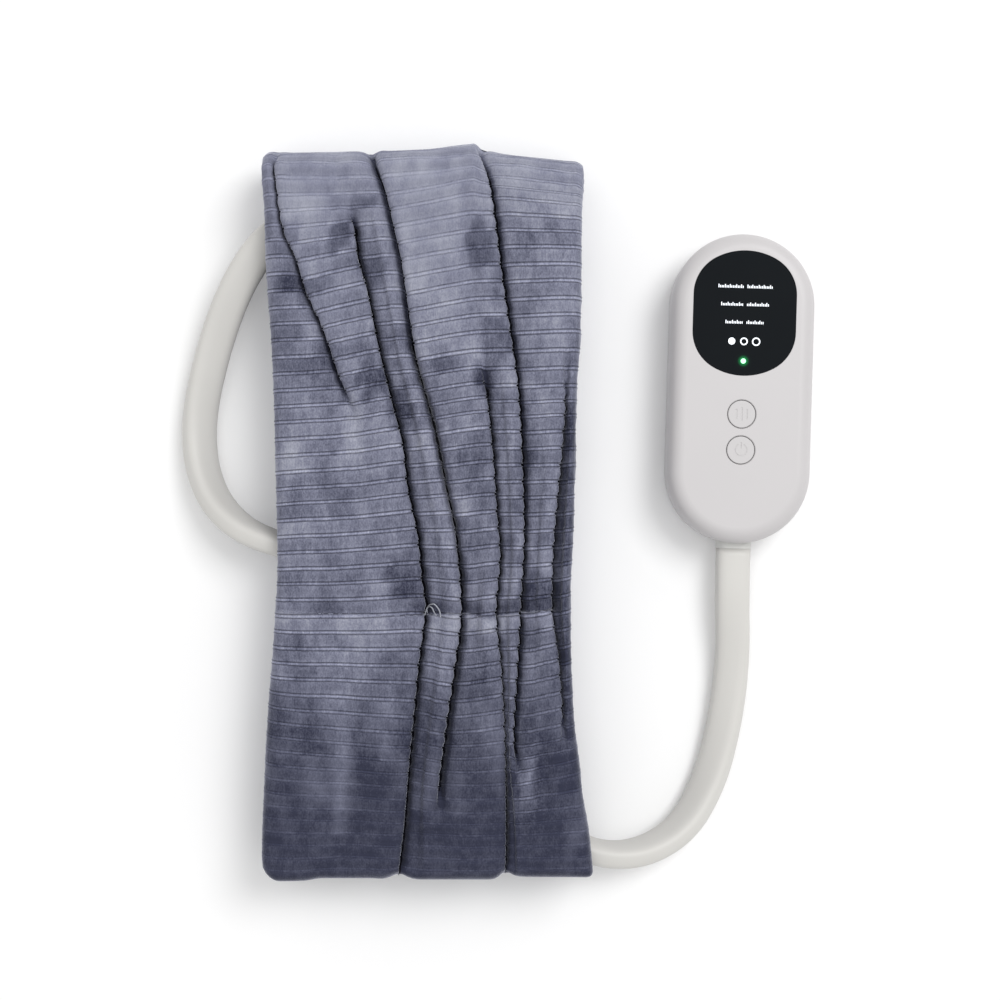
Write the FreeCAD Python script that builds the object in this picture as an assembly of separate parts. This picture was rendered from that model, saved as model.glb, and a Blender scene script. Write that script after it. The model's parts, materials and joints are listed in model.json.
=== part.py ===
"""Far-infrared massage blanket, folded once across its middle, with an air and power hose to a hand controller.

The blanket is a quilt of two equal leaves joined by a narrow fold band, so it opens like a thick book.  Each leaf is a
stack: ribbed velvet cover, heat reflector, wadding, air bladder, heater on its carrier, comfort fleece and lining.
The hose starts at a boot sewn to the lower lining, loops out of one side, runs between the leaves and ends in the
handset, which holds the pump, valve, battery, main board, display and two push buttons.

Frame: origin at the centre of the blanket's resting face, +Y towards the fold, +X towards the handset, +Z up.
All sizes are in millimetres.
"""

import FreeCAD
import Part
import math
import os

from FreeCAD import Vector

# ---------------------------------------------------------------- driving dimensions
LEAF = 14.0             # thickness of one leaf of the folded blanket
GAP = 17.0              # space between the leaves, where the hose passes
STACK = 2 * LEAF + GAP  # height of the folded blanket
FOLD_Y = 168.5          # outer face of the fold band
END_Y = -168.5          # sewn free ends of the leaves
JOINT_GAP = 0.3         # running gap between a leaf and the fold band
WAIST_Y = -20.0         # where the pleats pull the leaves narrowest
LEFT = {"end": -75.5, "waist": -70.0, "fold": -74.5}
RIGHT = {"end": 76.0, "waist": 67.0, "fold": 72.5}
CORNER = 9.0            # corner radius at the free ends

COVER = 1.2             # ribbed velvet
LINING = 1.0
REFLECTOR = (1.4, 1.7)  # layers of a leaf: depths from its outer face
WADDING = (1.9, 6.0)
BLADDER = (6.2, 9.2)
CARRIER = (9.4, 10.1)
FLEECE = (11.7, 12.8)
LAYER_INSET = 3.0
WIRE_R = 0.6            # heating wire
WIRE_DEPTH = 10.9
WIRE_RUNS = 8
WIRE_PITCH = 15.0
WIRE_Y = (-145.0, 128.0)
BINDING = 1.2           # how far the edge binding stands out
BINDING_DEPTH = 3.0

STITCH_Y = -43.0        # cross seam that gathers the pleats
STITCH = (3.0, 0.6, 0.4)
STITCH_PITCH = 4.4

HOSE_R = 6.5            # round tube with the section area of the flat 16 by 10.5 mm hose
# Points of the hose's route, from the boot on the blanket to the collar on the handset.
HOSE_ROUTE = [
    (-26.0, 139.0, 22.5),
    (-50.0, 139.0, 22.5),
    (-72.0, 129.0, 22.5),
    (-88.0, 108.0, 19.0),
    (-101.0, 77.0, 11.0),
    (-109.5, 40.0, 7.0),
    (-104.0, 10.0, 11.5),
    (-86.0, -9.0, 21.5),
    (-60.0, -17.0, 22.5),
    (-32.0, -33.0, 22.5),
    (-6.0, -62.0, 22.5),
    (18.0, -95.0, 22.5),
    (40.0, -131.0, 22.5),
    (70.0, -156.5, 22.5),
    (96.0, -160.0, 19.5),
    (119.0, -149.5, 11.5),
    (132.5, -127.0, 7.2),
    (140.0, -98.0, 6.8),
    (143.6, -68.0, 7.5),
]
HOSE_STRAIGHT = 22.0            # last run, straight out of the handset's collar
BOOT = (30.0, 21.0, 15.0)       # moulded boot where the hose joins the blanket
BOOT_FLANGE = (40.0, 31.0, 1.0)
SPIGOT_R = 3.5

HANDSET_AT = (145.0, 57.3)      # plan centre of the handset
HANDSET_TURN = -1.7             # degrees about +Z
HS_LENGTH, HS_WIDTH, HS_TOP = 143.0, 66.0, 30.0
HS_FOOT = 1.0                   # the rear shell stands this high on its feet
HS_SPLIT = 15.0                 # height of the seam between the shells
HS_WALL = 2.0
FRONT_ROUND, REAR_ROUND = 7.0, 9.0
LENS = {"w": 47.3, "l": 57.4, "round": 19.0, "thick": 1.2, "y": 34.4}
LENS_LEDGE = 2.5
BUTTON_R = 6.3
BUTTON_GAP = 0.3
BUTTON_TRAVEL = 0.8
BUTTON_LEAD = 0.35              # chamfer round each button's hole
MODE_Y, POWER_Y = -12.0, -28.5
LED_Y = 12.4
STROKE_PITCH = 0.74             # spacing of the printed strokes on the display
BOSSES = [(-24.0, 40.0), (24.0, 40.0), (-24.0, -42.0), (24.0, -42.0)]
PCB_Z = (20.0, 21.6)
COLLAR = (16.4, 10.9)           # section of the hose collar
COLLAR_Z = 13.0
COLLAR_OUT = 2.5

OUT = "parts"
BIG = 400.0
TINY = 0.05

made = {}


def keep(name, shape):
    """Stores a node's solids under its name."""
    made[name] = Part.makeCompound(shape.Solids) if len(shape.Solids) != 1 else shape.Solids[0]


# ---------------------------------------------------------------- small helpers
def box(x0, x1, y0, y1, z0, z1):
    return Part.makeBox(x1 - x0, y1 - y0, z1 - z0, Vector(x0, y0, z0))


def cylinder(r, x, y, z0, z1):
    return Part.makeCylinder(r, z1 - z0, Vector(x, y, z0), Vector(0, 0, 1))


def ring(r_out, r_in, x, y, z0, z1):
    return cylinder(r_out, x, y, z0, z1).cut(cylinder(r_in, x, y, z0 - 1, z1 + 1))


def union(shapes):
    first, rest = shapes[0], shapes[1:]
    return first.fuse(rest).removeSplitter() if rest else first


def prism(edges, direction):
    return Part.Face(Part.Wire(edges)).extrude(direction)


def vertical_edges(shape, wanted):
    """Edges along Z whose foot passes wanted(x, y)."""
    found = []
    for edge in shape.Edges:
        a, b = edge.Vertexes[0].Point, edge.Vertexes[-1].Point
        if abs(a.x - b.x) < TINY and abs(a.y - b.y) < TINY and abs(a.z - b.z) > TINY and wanted(a.x, a.y):
            found.append(edge)
    return found


def level_edges(shape, z, skip=lambda edge: False):
    """Edges that lie wholly at height z."""
    return [e for e in shape.Edges
            if abs(e.BoundBox.ZMin - z) < TINY and abs(e.BoundBox.ZMax - z) < TINY and not skip(e)]


def stadium(length, width, z0, z1, x=0.0, y=0.0):
    """Upright prism with straight sides along Y and half-round ends."""
    r = width / 2
    half = length / 2 - r
    corners = [Vector(x + r, y - half, z0), Vector(x + r, y + half, z0),
               Vector(x - r, y + half, z0), Vector(x - r, y - half, z0)]
    edges = [
        Part.LineSegment(corners[0], corners[1]).toShape(),
        Part.Arc(corners[1], Vector(x, y + half + r, z0), corners[2]).toShape(),
        Part.LineSegment(corners[2], corners[3]).toShape(),
        Part.Arc(corners[3], Vector(x, y - half - r, z0), corners[0]).toShape(),
    ]
    return prism(edges, Vector(0, 0, z1 - z0))


def flat_oval_along_y(width, height, z, y0, y1, x=0.0):
    """Bar along Y whose section is width across X by height across Z with half-round sides."""
    r = height / 2
    half = width / 2 - r
    edges = [
        Part.LineSegment(Vector(x - half, y0, z - r), Vector(x + half, y0, z - r)).toShape(),
        Part.Arc(Vector(x + half, y0, z - r), Vector(x + half + r, y0, z), Vector(x + half, y0, z + r)).toShape(),
        Part.LineSegment(Vector(x + half, y0, z + r), Vector(x - half, y0, z + r)).toShape(),
        Part.Arc(Vector(x - half, y0, z + r), Vector(x - half - r, y0, z), Vector(x - half, y0, z - r)).toShape(),
    ]
    return prism(edges, Vector(0, y1 - y0, 0))


def rounded_path(points):
    """A wire of straight runs joined by tangent arcs, each as large as its two runs allow.  Returns it and the radii."""
    share = 0.45
    edges, radii = [], []
    at = points[0]
    for before, corner, after in zip(points, points[1:], points[2:]):
        back, on = before - corner, after - corner
        turn = math.pi - back.getAngle(on)
        cut = share * min(back.Length, on.Length)
        radii.append(cut / math.tan(turn / 2))
        start, end = corner + back.normalize() * cut, corner + on.normalize() * cut
        middle = (back + on).normalize()
        sagitta = radii[-1] / math.cos(turn / 2) - radii[-1]
        edges.append(Part.LineSegment(at, start).toShape())
        edges.append(Part.Arc(start, corner + middle * sagitta, end).toShape())
        at = end
    edges.append(Part.LineSegment(at, points[-1]).toShape())
    return Part.Wire(edges), radii


def tube_along(wire, r):
    first = wire.Edges[0]
    start = first.Vertexes[0].Point
    heading = first.tangentAt(first.FirstParameter)
    circle = Part.Wire(Part.makeCircle(r, start, heading))
    return wire.makePipeShell([circle], True, False)


def bent_rod(points, r):
    """A rod of straight runs with ball corners."""
    pieces = []
    for a, b in zip(points, points[1:]):
        pieces.append(Part.makeCylinder(r, (b - a).Length, a, b - a))
    pieces += [Part.makeSphere(r, p) for p in points[1:-1]]
    return union(pieces)


# ---------------------------------------------------------------- the blanket's leaves
LEAF_END = FOLD_Y - LEAF - JOINT_GAP


def leaf_prism(z0, z1, inset, fold_inset=None):
    """The leaf's plan outline between two heights: waisted sides and rounded corners at the free end."""
    y0 = END_Y + inset
    y1 = LEAF_END - (inset if fold_inset is None else fold_inset)
    left = [Vector(LEFT[k] + inset, y, z0) for k, y in (("fold", y1), ("waist", WAIST_Y), ("end", y0))]
    right = [Vector(RIGHT[k] - inset, y, z0) for k, y in (("end", y0), ("waist", WAIST_Y), ("fold", y1))]
    edges = [
        Part.Arc(*left).toShape(),
        Part.LineSegment(left[-1], right[0]).toShape(),
        Part.Arc(*right).toShape(),
        Part.LineSegment(right[-1], left[0]).toShape(),
    ]
    solid = prism(edges, Vector(0, 0, z1 - z0))
    radius = max(CORNER - inset, 3.0)
    return solid.makeFillet(radius, vertical_edges(solid, lambda x, y: abs(y - y0) < TINY))


def leaf_cover():
    outer = leaf_prism(0, LEAF - LINING, 0)
    edge_round = 3.0
    at_fold = lambda e: abs(e.BoundBox.YMin - LEAF_END) < TINY
    outer = outer.makeFillet(edge_round, level_edges(outer, 0, at_fold))
    return outer.cut(leaf_prism(COVER, LEAF, COVER, -1.0))


def leaf_binding():
    top = LEAF - 0.2
    outer = leaf_prism(top - BINDING_DEPTH, top, -BINDING, 0)
    return outer.cut(leaf_prism(0, LEAF, 0))


def leaf_bladder():
    """Three linked air chambers."""
    z0, z1 = BLADDER
    width, length, pitch, round_r = 108.0, 76.0, 90.0, 12.0
    chambers = []
    for i in range(3):
        y = -132.0 + i * pitch
        chamber = box(-width / 2, width / 2, y, y + length, z0, z1)
        chambers.append(chamber.makeFillet(round_r, vertical_edges(chamber, lambda x, y: True)))
        if i:
            chambers.append(box(-6, 6, y - (pitch - length) - 2, y + 2, z0 + 0.6, z1 - 0.6))
    neck = box(-4, 4, 122.0, 134.0, z0 + 0.5, z1 - 0.5)
    return union(chambers + [neck])


def leaf_heating_wire():
    """Serpentine of long runs joined by half-round bends, both tails at the fold."""
    y0, y1 = WIRE_Y
    r = WIRE_PITCH / 2
    x = -WIRE_PITCH * (WIRE_RUNS - 1) / 2
    tail = 8.0
    edges, up = [], False
    at = Vector(x, y1 + tail, WIRE_DEPTH)
    for i in range(WIRE_RUNS):
        last = i == WIRE_RUNS - 1
        stop = y1 + tail if last else (y1 if up else y0)
        end = Vector(x, stop, WIRE_DEPTH)
        edges.append(Part.LineSegment(at, end).toShape())
        if not last:
            crown = Vector(x + r, stop + (r if up else -r), WIRE_DEPTH)
            at = Vector(x + WIRE_PITCH, stop, WIRE_DEPTH)
            edges.append(Part.Arc(end, crown, at).toShape())
        x += WIRE_PITCH
        up = not up
    return tube_along(Part.Wire(edges), WIRE_R)


def leaf_strip():
    """Hook-and-loop strip near the free end, on the inner face."""
    strip = box(-62, 14, -159, -139, LEAF, LEAF + 1.2)
    return strip.makeFillet(3.0, vertical_edges(strip, lambda x, y: True))


def leaf_layers():
    """One leaf's layers, outer face at z = 0."""
    return {
        "cover": leaf_cover(),
        "lining": leaf_prism(LEAF - LINING, LEAF, 0, 0),
        "edge_binding": leaf_binding(),
        "heat_reflector": leaf_prism(*REFLECTOR, LAYER_INSET),
        "wadding": leaf_prism(*WADDING, LAYER_INSET),
        "air_bladder": leaf_bladder(),
        "heater_carrier": leaf_prism(*CARRIER, LAYER_INSET + 2),
        "heating_wire": leaf_heating_wire(),
        "comfort_fleece": leaf_prism(*FLEECE, LAYER_INSET),
    }


def make_leaves():
    layers = leaf_layers()
    spigot_x = HOSE_ROUTE[0][0] + BOOT[0] / 2
    spigot_hole = cylinder(SPIGOT_R + 0.3, spigot_x, HOSE_ROUTE[0][1], FLEECE[0] - 0.5, LEAF + 1)
    for name, shape in layers.items():
        lower = shape.cut(spigot_hole) if name in ("lining", "comfort_fleece") else shape
        keep("lower_" + name, lower)
        keep("upper_" + name, over(shape))
    keep("hook_strip", leaf_strip())
    keep("loop_strip", over(leaf_strip()))


def over(shape):
    """The upper leaf is the lower one turned over about the middle of the stack."""
    return shape.mirror(Vector(0, 0, STACK / 2), Vector(0, 0, 1))


def make_lower_leaf_parts():
    z = CARRIER[1] + 0.1
    cutout = box(-3, 3, 14, 28, z, z + 1.5)
    keep("thermal_cutout", cutout.makeFillet(0.5, cutout.Edges))
    bead = Part.makeSphere(0.7, Vector(15, -60, z + 0.75))
    legs = [Part.makeCylinder(0.25, 14, Vector(15 + dx, -60, z + 0.75), Vector(0, 1, 0)) for dx in (-0.35, 0.35)]
    keep("thermistor", union([bead] + legs))
    manifold = box(-9, 9, 135, 143, BLADDER[0], BLADDER[1])
    keep("air_manifold", manifold.makeFillet(1.0, vertical_edges(manifold, lambda x, y: True)))
    tail_y = WIRE_Y[1] + 8.0 + WIRE_R
    spigot_x = HOSE_ROUTE[0][0] + BOOT[0] / 2
    side = WIRE_PITCH * (WIRE_RUNS - 1) / 2
    wires = []
    for sign in (-1, 1):
        x_end = sign * side
        y = HOSE_ROUTE[0][1] + sign * 1.5
        wires.append(bent_rod([Vector(spigot_x + sign * (SPIGOT_R + 1), y, WIRE_DEPTH),
                               Vector(x_end, y, WIRE_DEPTH),
                               Vector(x_end, tail_y, WIRE_DEPTH)], 0.75))
    keep("lead_harness", Part.makeCompound(wires))


def make_pleat_stitching():
    length, width, height = STITCH
    count = 29
    first = -(count - 1) * STITCH_PITCH / 2 - 2.0
    stitches = []
    for i in range(count):
        x = first + i * STITCH_PITCH
        stitch = box(x, x + length, STITCH_Y, STITCH_Y + width, STACK, STACK + height)
        stitches.append(stitch)
    keep("pleat_stitching", Part.makeCompound(stitches))


# ---------------------------------------------------------------- the fold band
def band_profile(r, y_centre):
    """Upright stadium in the YZ plane with round knuckles about the two fold axes."""
    low, high = LEAF / 2, STACK - LEAF / 2
    x = LEFT["fold"]
    a, b = Vector(x, y_centre + r, low), Vector(x, y_centre + r, high)
    c, d = Vector(x, y_centre - r, high), Vector(x, y_centre - r, low)
    return [
        Part.LineSegment(a, b).toShape(),
        Part.Arc(b, Vector(x, y_centre, high + r), c).toShape(),
        Part.LineSegment(c, d).toShape(),
        Part.Arc(d, Vector(x, y_centre, low - r), a).toShape(),
    ]


def make_fold_band():
    width = RIGHT["fold"] - LEFT["fold"]
    y = FOLD_Y - LEAF / 2
    whole = prism(band_profile(LEAF / 2, y), Vector(width, 0, 0))
    core = prism(band_profile(LEAF / 2 - COVER, y), Vector(width, 0, 0))
    outside = box(-BIG, BIG, y, BIG, -BIG, BIG)
    cover = whole.cut(core).common(outside)
    lining = box(LEFT["fold"], RIGHT["fold"], y - LEAF / 2, y - LEAF / 2 + LINING, LEAF / 2, STACK - LEAF / 2)
    z0, z1 = 5.0, STACK - 5.0
    side = WIRE_PITCH * (WIRE_RUNS - 1) / 2
    lead_r, tube_r, bore_r = 1.0, 2.5, 1.5
    leads = [cylinder(lead_r, sign * side, y, z0, z1) for sign in (-1, 1)]
    channels = [cylinder(lead_r + 0.1, sign * side, y, z0, z1) for sign in (-1, 1)]
    channels.append(cylinder(tube_r + 0.1, 0, y, z0, z1))
    wadding = whole.cut(cover).cut(lining)
    for channel in channels:
        wadding = wadding.cut(channel)
    keep("fold_cover", cover)
    keep("fold_lining", lining)
    keep("fold_wadding", wadding)
    keep("fold_leads", Part.makeCompound(leads))
    keep("fold_air_tube", ring(tube_r, bore_r, 0, y, z0, z1))


# ---------------------------------------------------------------- the hose and its boot
def make_hose():
    mouth = -HS_LENGTH / 2 - COLLAR_OUT
    points = [Vector(*p) for p in HOSE_ROUTE]
    points += [to_handset(Vector(0, mouth - out, COLLAR_Z)) for out in (HOSE_STRAIGHT, 0.0)]
    wire, radii = rounded_path(points)
    tube = tube_along(wire, HOSE_R)
    expected = wire.Length * math.pi * HOSE_R ** 2
    print("hose length %.1f, volume share %.4f, radii %s"
          % (wire.Length, tube.Volume / expected, [round(r) for r in radii]))
    keep("hose", tube)


def make_boot():
    x, y, z = HOSE_ROUTE[0]
    length, width, height = BOOT
    body = box(x, x + length, y - width / 2, y + width / 2, LEAF + BOOT_FLANGE[2], LEAF + BOOT_FLANGE[2] + height - 0.5)
    upper_edges = [e for e in body.Edges if e.BoundBox.ZMax > LEAF + 5 and e.BoundBox.XMax > x + TINY]
    body = body.makeFillet(4.0, upper_edges)
    flange_l, flange_w, flange_h = BOOT_FLANGE
    flange = box(x + 1, x + flange_l, y - flange_w / 2, y + flange_w / 2, LEAF, LEAF + flange_h)
    flange = flange.cut(box(x + 1, x + flange_l, y + width / 2 + 2, y + BIG, 0, BIG))
    spigot = cylinder(SPIGOT_R, x + length / 2, y, FLEECE[0] - 0.4, LEAF + flange_h)
    keep("hose_boot", union([body, flange, spigot]))


# ---------------------------------------------------------------- the handset
def to_handset(point):
    """A point in the handset's own frame, taken to the blanket's frame."""
    turn = FreeCAD.Rotation(Vector(0, 0, 1), HANDSET_TURN)
    return turn.multVec(point) + Vector(HANDSET_AT[0], HANDSET_AT[1], 0)


def keep_on_handset(name, shape):
    placed = shape.copy()
    turn = FreeCAD.Rotation(Vector(0, 0, 1), HANDSET_TURN)
    placed.Placement = FreeCAD.Placement(Vector(HANDSET_AT[0], HANDSET_AT[1], 0), turn).multiply(placed.Placement)
    keep(name, placed)


def pebble(inset):
    """The handset's body, shrunk all round by inset."""
    solid = stadium(HS_LENGTH - 2 * inset, HS_WIDTH - 2 * inset, HS_FOOT + inset, HS_TOP - inset)
    solid = solid.makeFillet(FRONT_ROUND - inset / 2, level_edges(solid, HS_TOP - inset))
    return solid.makeFillet(REAR_ROUND - inset / 2, level_edges(solid, HS_FOOT + inset))


def lens_prism(shrink, z0, z1):
    """Round window with flattened sides: a disc cut to a narrower width, its corners eased."""
    disc = cylinder(LENS["l"] / 2 - shrink, 0, LENS["y"], z0, z1)
    half = LENS["w"] / 2 - shrink
    solid = disc.common(box(-half, half, -BIG, BIG, z0, z1))
    return solid.makeFillet(LENS["round"] - shrink, vertical_edges(solid, lambda x, y: abs(abs(x) - half) < TINY))


def tongue(inset_out, inset_in, z0, z1):
    outer = stadium(HS_LENGTH - 2 * inset_out, HS_WIDTH - 2 * inset_out, z0, z1)
    return outer.cut(stadium(HS_LENGTH - 2 * inset_in, HS_WIDTH - 2 * inset_in, z0 - 1, z1 + 1))


def collar_hole():
    return flat_oval_along_y(COLLAR[0] + 0.1, COLLAR[1] + 0.1, COLLAR_Z, -HS_LENGTH / 2 - 5, -HS_LENGTH / 2 + 6)


SOCKET = {"w": 8.9, "h": 3.2, "z": 18.3, "y0": 62.5, "y1": 71.0}


def socket_bar(grow, y0, y1):
    return flat_oval_along_y(SOCKET["w"] + 2 * grow, SOCKET["h"] + 2 * grow, SOCKET["z"], y0, y1)


def make_shells():
    shell = pebble(0).cut(pebble(HS_WALL))
    front = shell.common(box(-BIG, BIG, -BIG, BIG, HS_SPLIT, BIG))
    rear = shell.common(box(-BIG, BIG, -BIG, BIG, -BIG, HS_SPLIT))
    pilot_r, boss_r, hole_r, rear_boss_r, sink_r = 1.35, 3.0, 1.5, 4.2, 2.8
    for x, y in BOSSES:
        front = front.fuse(cylinder(boss_r, x, y, HS_SPLIT + 0.2, HS_TOP - HS_WALL + 0.3))
        front = front.cut(cylinder(pilot_r, x, y, HS_SPLIT, 19.0))
        rear = rear.fuse(cylinder(rear_boss_r, x, y, HS_FOOT + 1.0, HS_SPLIT - 0.1))
        rear = rear.cut(cylinder(hole_r, x, y, 0, HS_SPLIT))
        rear = rear.cut(cylinder(sink_r, x, y, 0, 4.1))
        rear = rear.cut(cylinder(4.1, x, y, 0, 1.8))
    front = front.cut(lens_prism(-0.1, HS_TOP - LENS["thick"] - 0.1, HS_TOP + 1))
    front = front.cut(lens_prism(LENS_LEDGE, HS_TOP - 5, HS_TOP + 1))
    for y in (MODE_Y, POWER_Y):
        well_r = BUTTON_R + BUTTON_GAP
        front = front.cut(cylinder(well_r, 0, y, HS_TOP - 5, HS_TOP + 1))
        lead_at = Vector(0, y, HS_TOP - BUTTON_LEAD)
        front = front.cut(Part.makeCone(well_r, well_r + BUTTON_LEAD, BUTTON_LEAD, lead_at))
    front = front.cut(tongue(1.1, HS_WALL + 0.4, HS_SPLIT - 1, HS_SPLIT + 1.6))
    rear = rear.fuse(tongue(1.2, HS_WALL, HS_SPLIT - 0.5, HS_SPLIT + 1.4))
    front = front.cut(collar_hole()).cut(socket_bar(0.1, 60, 75))
    rear = rear.cut(collar_hole())
    keep_on_handset("handset_front_shell", front.removeSplitter())
    keep_on_handset("handset_rear_shell", rear.removeSplitter())


def make_display():
    top = HS_TOP
    led = cylinder(1.15, 0, LED_Y, top - 3.2, top)
    lens = lens_prism(0, top - LENS["thick"], top).cut(cylinder(1.25, 0, LED_Y, 0, top + 1))
    keep_on_handset("display_lens", lens)
    module = box(-18, 18, 16, 54, 24.2, 28.2)
    keep_on_handset("display_module", module.makeFillet(3.0, vertical_edges(module, lambda x, y: True)))
    keep_on_handset("status_light_pipe", led)
    print_h = 0.12
    legends = []
    for width, y in ((25.0, 46.4), (21.5, 38.2), (17.5, 30.0)):
        legends += stroke_row(width, y, top, top + print_h)
    for i, x in enumerate((-5.6, 0.0, 5.6)):
        r = 1.6 + 0.15 * i
        mark = cylinder(r, x, 21.4, top, top + print_h)
        legends.append(mark if i == 0 else mark.cut(cylinder(r - 0.55, x, 21.4, top - 1, top + 1)))
    keep_on_handset("display_legend", Part.makeCompound(legends))


def stroke_row(width, y, z0, z1):
    """A row of short upright strokes of uneven height with a gap near its middle, in place of words."""
    thick, low, high = 0.38, 1.05, 1.6
    count = int(width / STROKE_PITCH)
    gap = (count // 2, count // 2 + 1)
    strokes = []
    for i in range(count + 1):
        if i in gap:
            continue
        x = (i - count / 2) * STROKE_PITCH
        height = high if i % 7 in (0, 4) else low
        strokes.append(box(x - thick / 2, x + thick / 2, y - low / 2, y - low / 2 + height, z0, z1))
    return strokes


def button(y):
    """Cap with a retaining flange and a stem that presses the keypad."""
    top = HS_TOP
    cap = cylinder(BUTTON_R, 0, y, 27.0, top)
    cap = cap.makeFillet(0.4, level_edges(cap, top))
    flange = cylinder(BUTTON_R + 1.3, 0, y, 26.0, 27.6)
    stem = cylinder(2.0, 0, y, 24.2, 26.0)
    return union([cap, flange, stem])


def make_buttons():
    cut_z, deep = HS_TOP - 0.2, HS_TOP + 1
    mode = button(MODE_Y)
    for x, length in ((-2.4, 4.6), (0.0, 6.0), (2.4, 4.6)):
        groove = box(x - 0.35, x + 0.35, MODE_Y - length / 2, MODE_Y + length / 2, cut_z, deep)
        mode = mode.cut(groove)
    keep_on_handset("mode_button", mode)
    power = button(POWER_Y)
    arc = ring(3.0, 2.35, 0, POWER_Y, cut_z, deep)
    arc = arc.cut(box(-1.2, 1.2, POWER_Y, POWER_Y + 5, 0, BIG))
    bar = box(-0.33, 0.33, POWER_Y + 0.8, POWER_Y + 3.6, cut_z, deep)
    keep_on_handset("power_button", power.cut(arc).cut(bar))
    pad = box(-11, 11, -37, -4, PCB_Z[1] + 0.1, PCB_Z[1] + 0.8)
    pad = pad.makeFillet(2.0, vertical_edges(pad, lambda x, y: True))
    domes = [Part.makeCone(3.2, 2.2, 0.9, Vector(0, y, PCB_Z[1] + 0.8)) for y in (MODE_Y, POWER_Y)]
    keep_on_handset("button_keypad", union([pad] + domes))


def make_electronics():
    z0, z1 = PCB_Z
    board = stadium(124, 55, z0, z1, y=2.0)
    for x, y in BOSSES:
        board = board.cut(cylinder(3.3, x, y, z0 - 1, z1 + 1))
    keep_on_handset("main_board", board)
    chips = [box(x, x + w, y, y + l, z1 + TINY, z1 + h)
             for x, y, w, l, h in ((-8, -56, 9, 9, 1.6), (6, -55, 5, 6, 1.4), (-20, -20, 6, 5, 1.4), (14, -24, 5, 7, 1.8))]
    keep_on_handset("board_chips", Part.makeCompound(chips))
    keep_on_handset("buzzer", cylinder(4.5, 12.5, -1.0, 15.6, z0 - TINY))
    socket = socket_bar(0, SOCKET["y0"], SOCKET["y1"])
    socket = socket.cut(socket_bar(-0.3, SOCKET["y0"] + 1.5, SOCKET["y1"] + 1))
    blade_y = SOCKET["y0"] + 1.0
    blade = box(-3.3, 3.3, blade_y, blade_y + 5.5, SOCKET["z"] - 0.35, SOCKET["z"] + 0.35)
    keep_on_handset("charge_socket", union([socket, blade]))
    pack = box(-18, 18, 8, 60, 4.1, 13.0)
    keep_on_handset("battery_pack", pack.makeFillet(1.8, pack.Edges))
    pad = box(-14, 14, 12, 56, HS_FOOT + HS_WALL + TINY, 4.05)
    keep_on_handset("battery_foam", pad)


PUMP_X, PUMP_Z, MOTOR_R = -10.0, 11.6, 7.0
VALVE_X, VALVE_Z = 11.0, 10.0


def make_air_parts():
    y = Vector(0, 1, 0)
    motor = Part.makeCylinder(MOTOR_R, 24, Vector(PUMP_X, -20, PUMP_Z), y)
    head = box(PUMP_X - 8, PUMP_X + 8, -33, -20, PUMP_Z - 7.5, PUMP_Z + 7.5)
    head = head.makeFillet(2.0, [e for e in head.Edges if e.BoundBox.YLength > 5])
    nozzle = Part.makeCylinder(1.8, 5, Vector(PUMP_X, -38, PUMP_Z), y)
    keep_on_handset("air_pump", union([motor, head, nozzle]))
    sleeve = Part.makeCylinder(MOTOR_R + 1.1, 13, Vector(PUMP_X, -12, PUMP_Z), y)
    sleeve = sleeve.cut(Part.makeCylinder(MOTOR_R + TINY, 20, Vector(PUMP_X, -15, PUMP_Z), y))
    keep_on_handset("pump_damper", sleeve)
    body = box(VALVE_X - 5.5, VALVE_X + 5.5, -30, -12, VALVE_Z - 6, VALVE_Z + 6)
    body = body.makeFillet(1.0, [e for e in body.Edges if e.BoundBox.YLength > 5])
    spout = Part.makeCylinder(1.8, 5, Vector(VALVE_X, -35, VALVE_Z), y)
    keep_on_handset("release_valve", union([body, spout]))
    meet = Vector(0, -54, 12.0)
    tube = union([
        bent_rod([Vector(PUMP_X, -38.1, PUMP_Z), Vector(PUMP_X, -46, PUMP_Z), meet], 2.0),
        bent_rod([Vector(VALVE_X, -35.1, VALVE_Z), Vector(VALVE_X, -46, VALVE_Z), meet], 2.0),
        bent_rod([meet + Vector(0, 2, 0), Vector(0, -62, COLLAR_Z)], 2.4),
    ])
    keep_on_handset("handset_air_tube", tube)


def make_fixings():
    screws, feet = [], []
    for x, y in BOSSES:
        screw = cylinder(2.5, x, y, 2.2, 4.05).fuse(cylinder(1.3, x, y, 4.0, 18.0)).removeSplitter()
        slot = box(x - 0.35, x + 0.35, y - 1.6, y + 1.6, 2.0, 3.0)
        cross = box(x - 1.6, x + 1.6, y - 0.35, y + 0.35, 2.0, 3.0)
        screws.append(screw.cut(slot).cut(cross))
        foot = cylinder(4.0, x, y, 0, 1.75)
        feet.append(foot.makeFillet(0.4, level_edges(foot, 0)))
    keep_on_handset("handset_screws", Part.makeCompound(screws))
    keep_on_handset("handset_feet", Part.makeCompound(feet))


def make_collar():
    """Grommet held in the shells' wall: a short lip outside and a wider flange inside."""
    end = -HS_LENGTH / 2
    lip = flat_oval_along_y(*COLLAR, COLLAR_Z, end - COLLAR_OUT, end + 4.6)
    flange = flat_oval_along_y(COLLAR[0] + 4, COLLAR[1] + 4, COLLAR_Z, end + 4.6, end + 6.4)
    keep_on_handset("hose_collar", union([lip, flange]).cut(
        flat_oval_along_y(8, 5.2, COLLAR_Z, end - COLLAR_OUT + 2, end + 10)))


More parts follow.
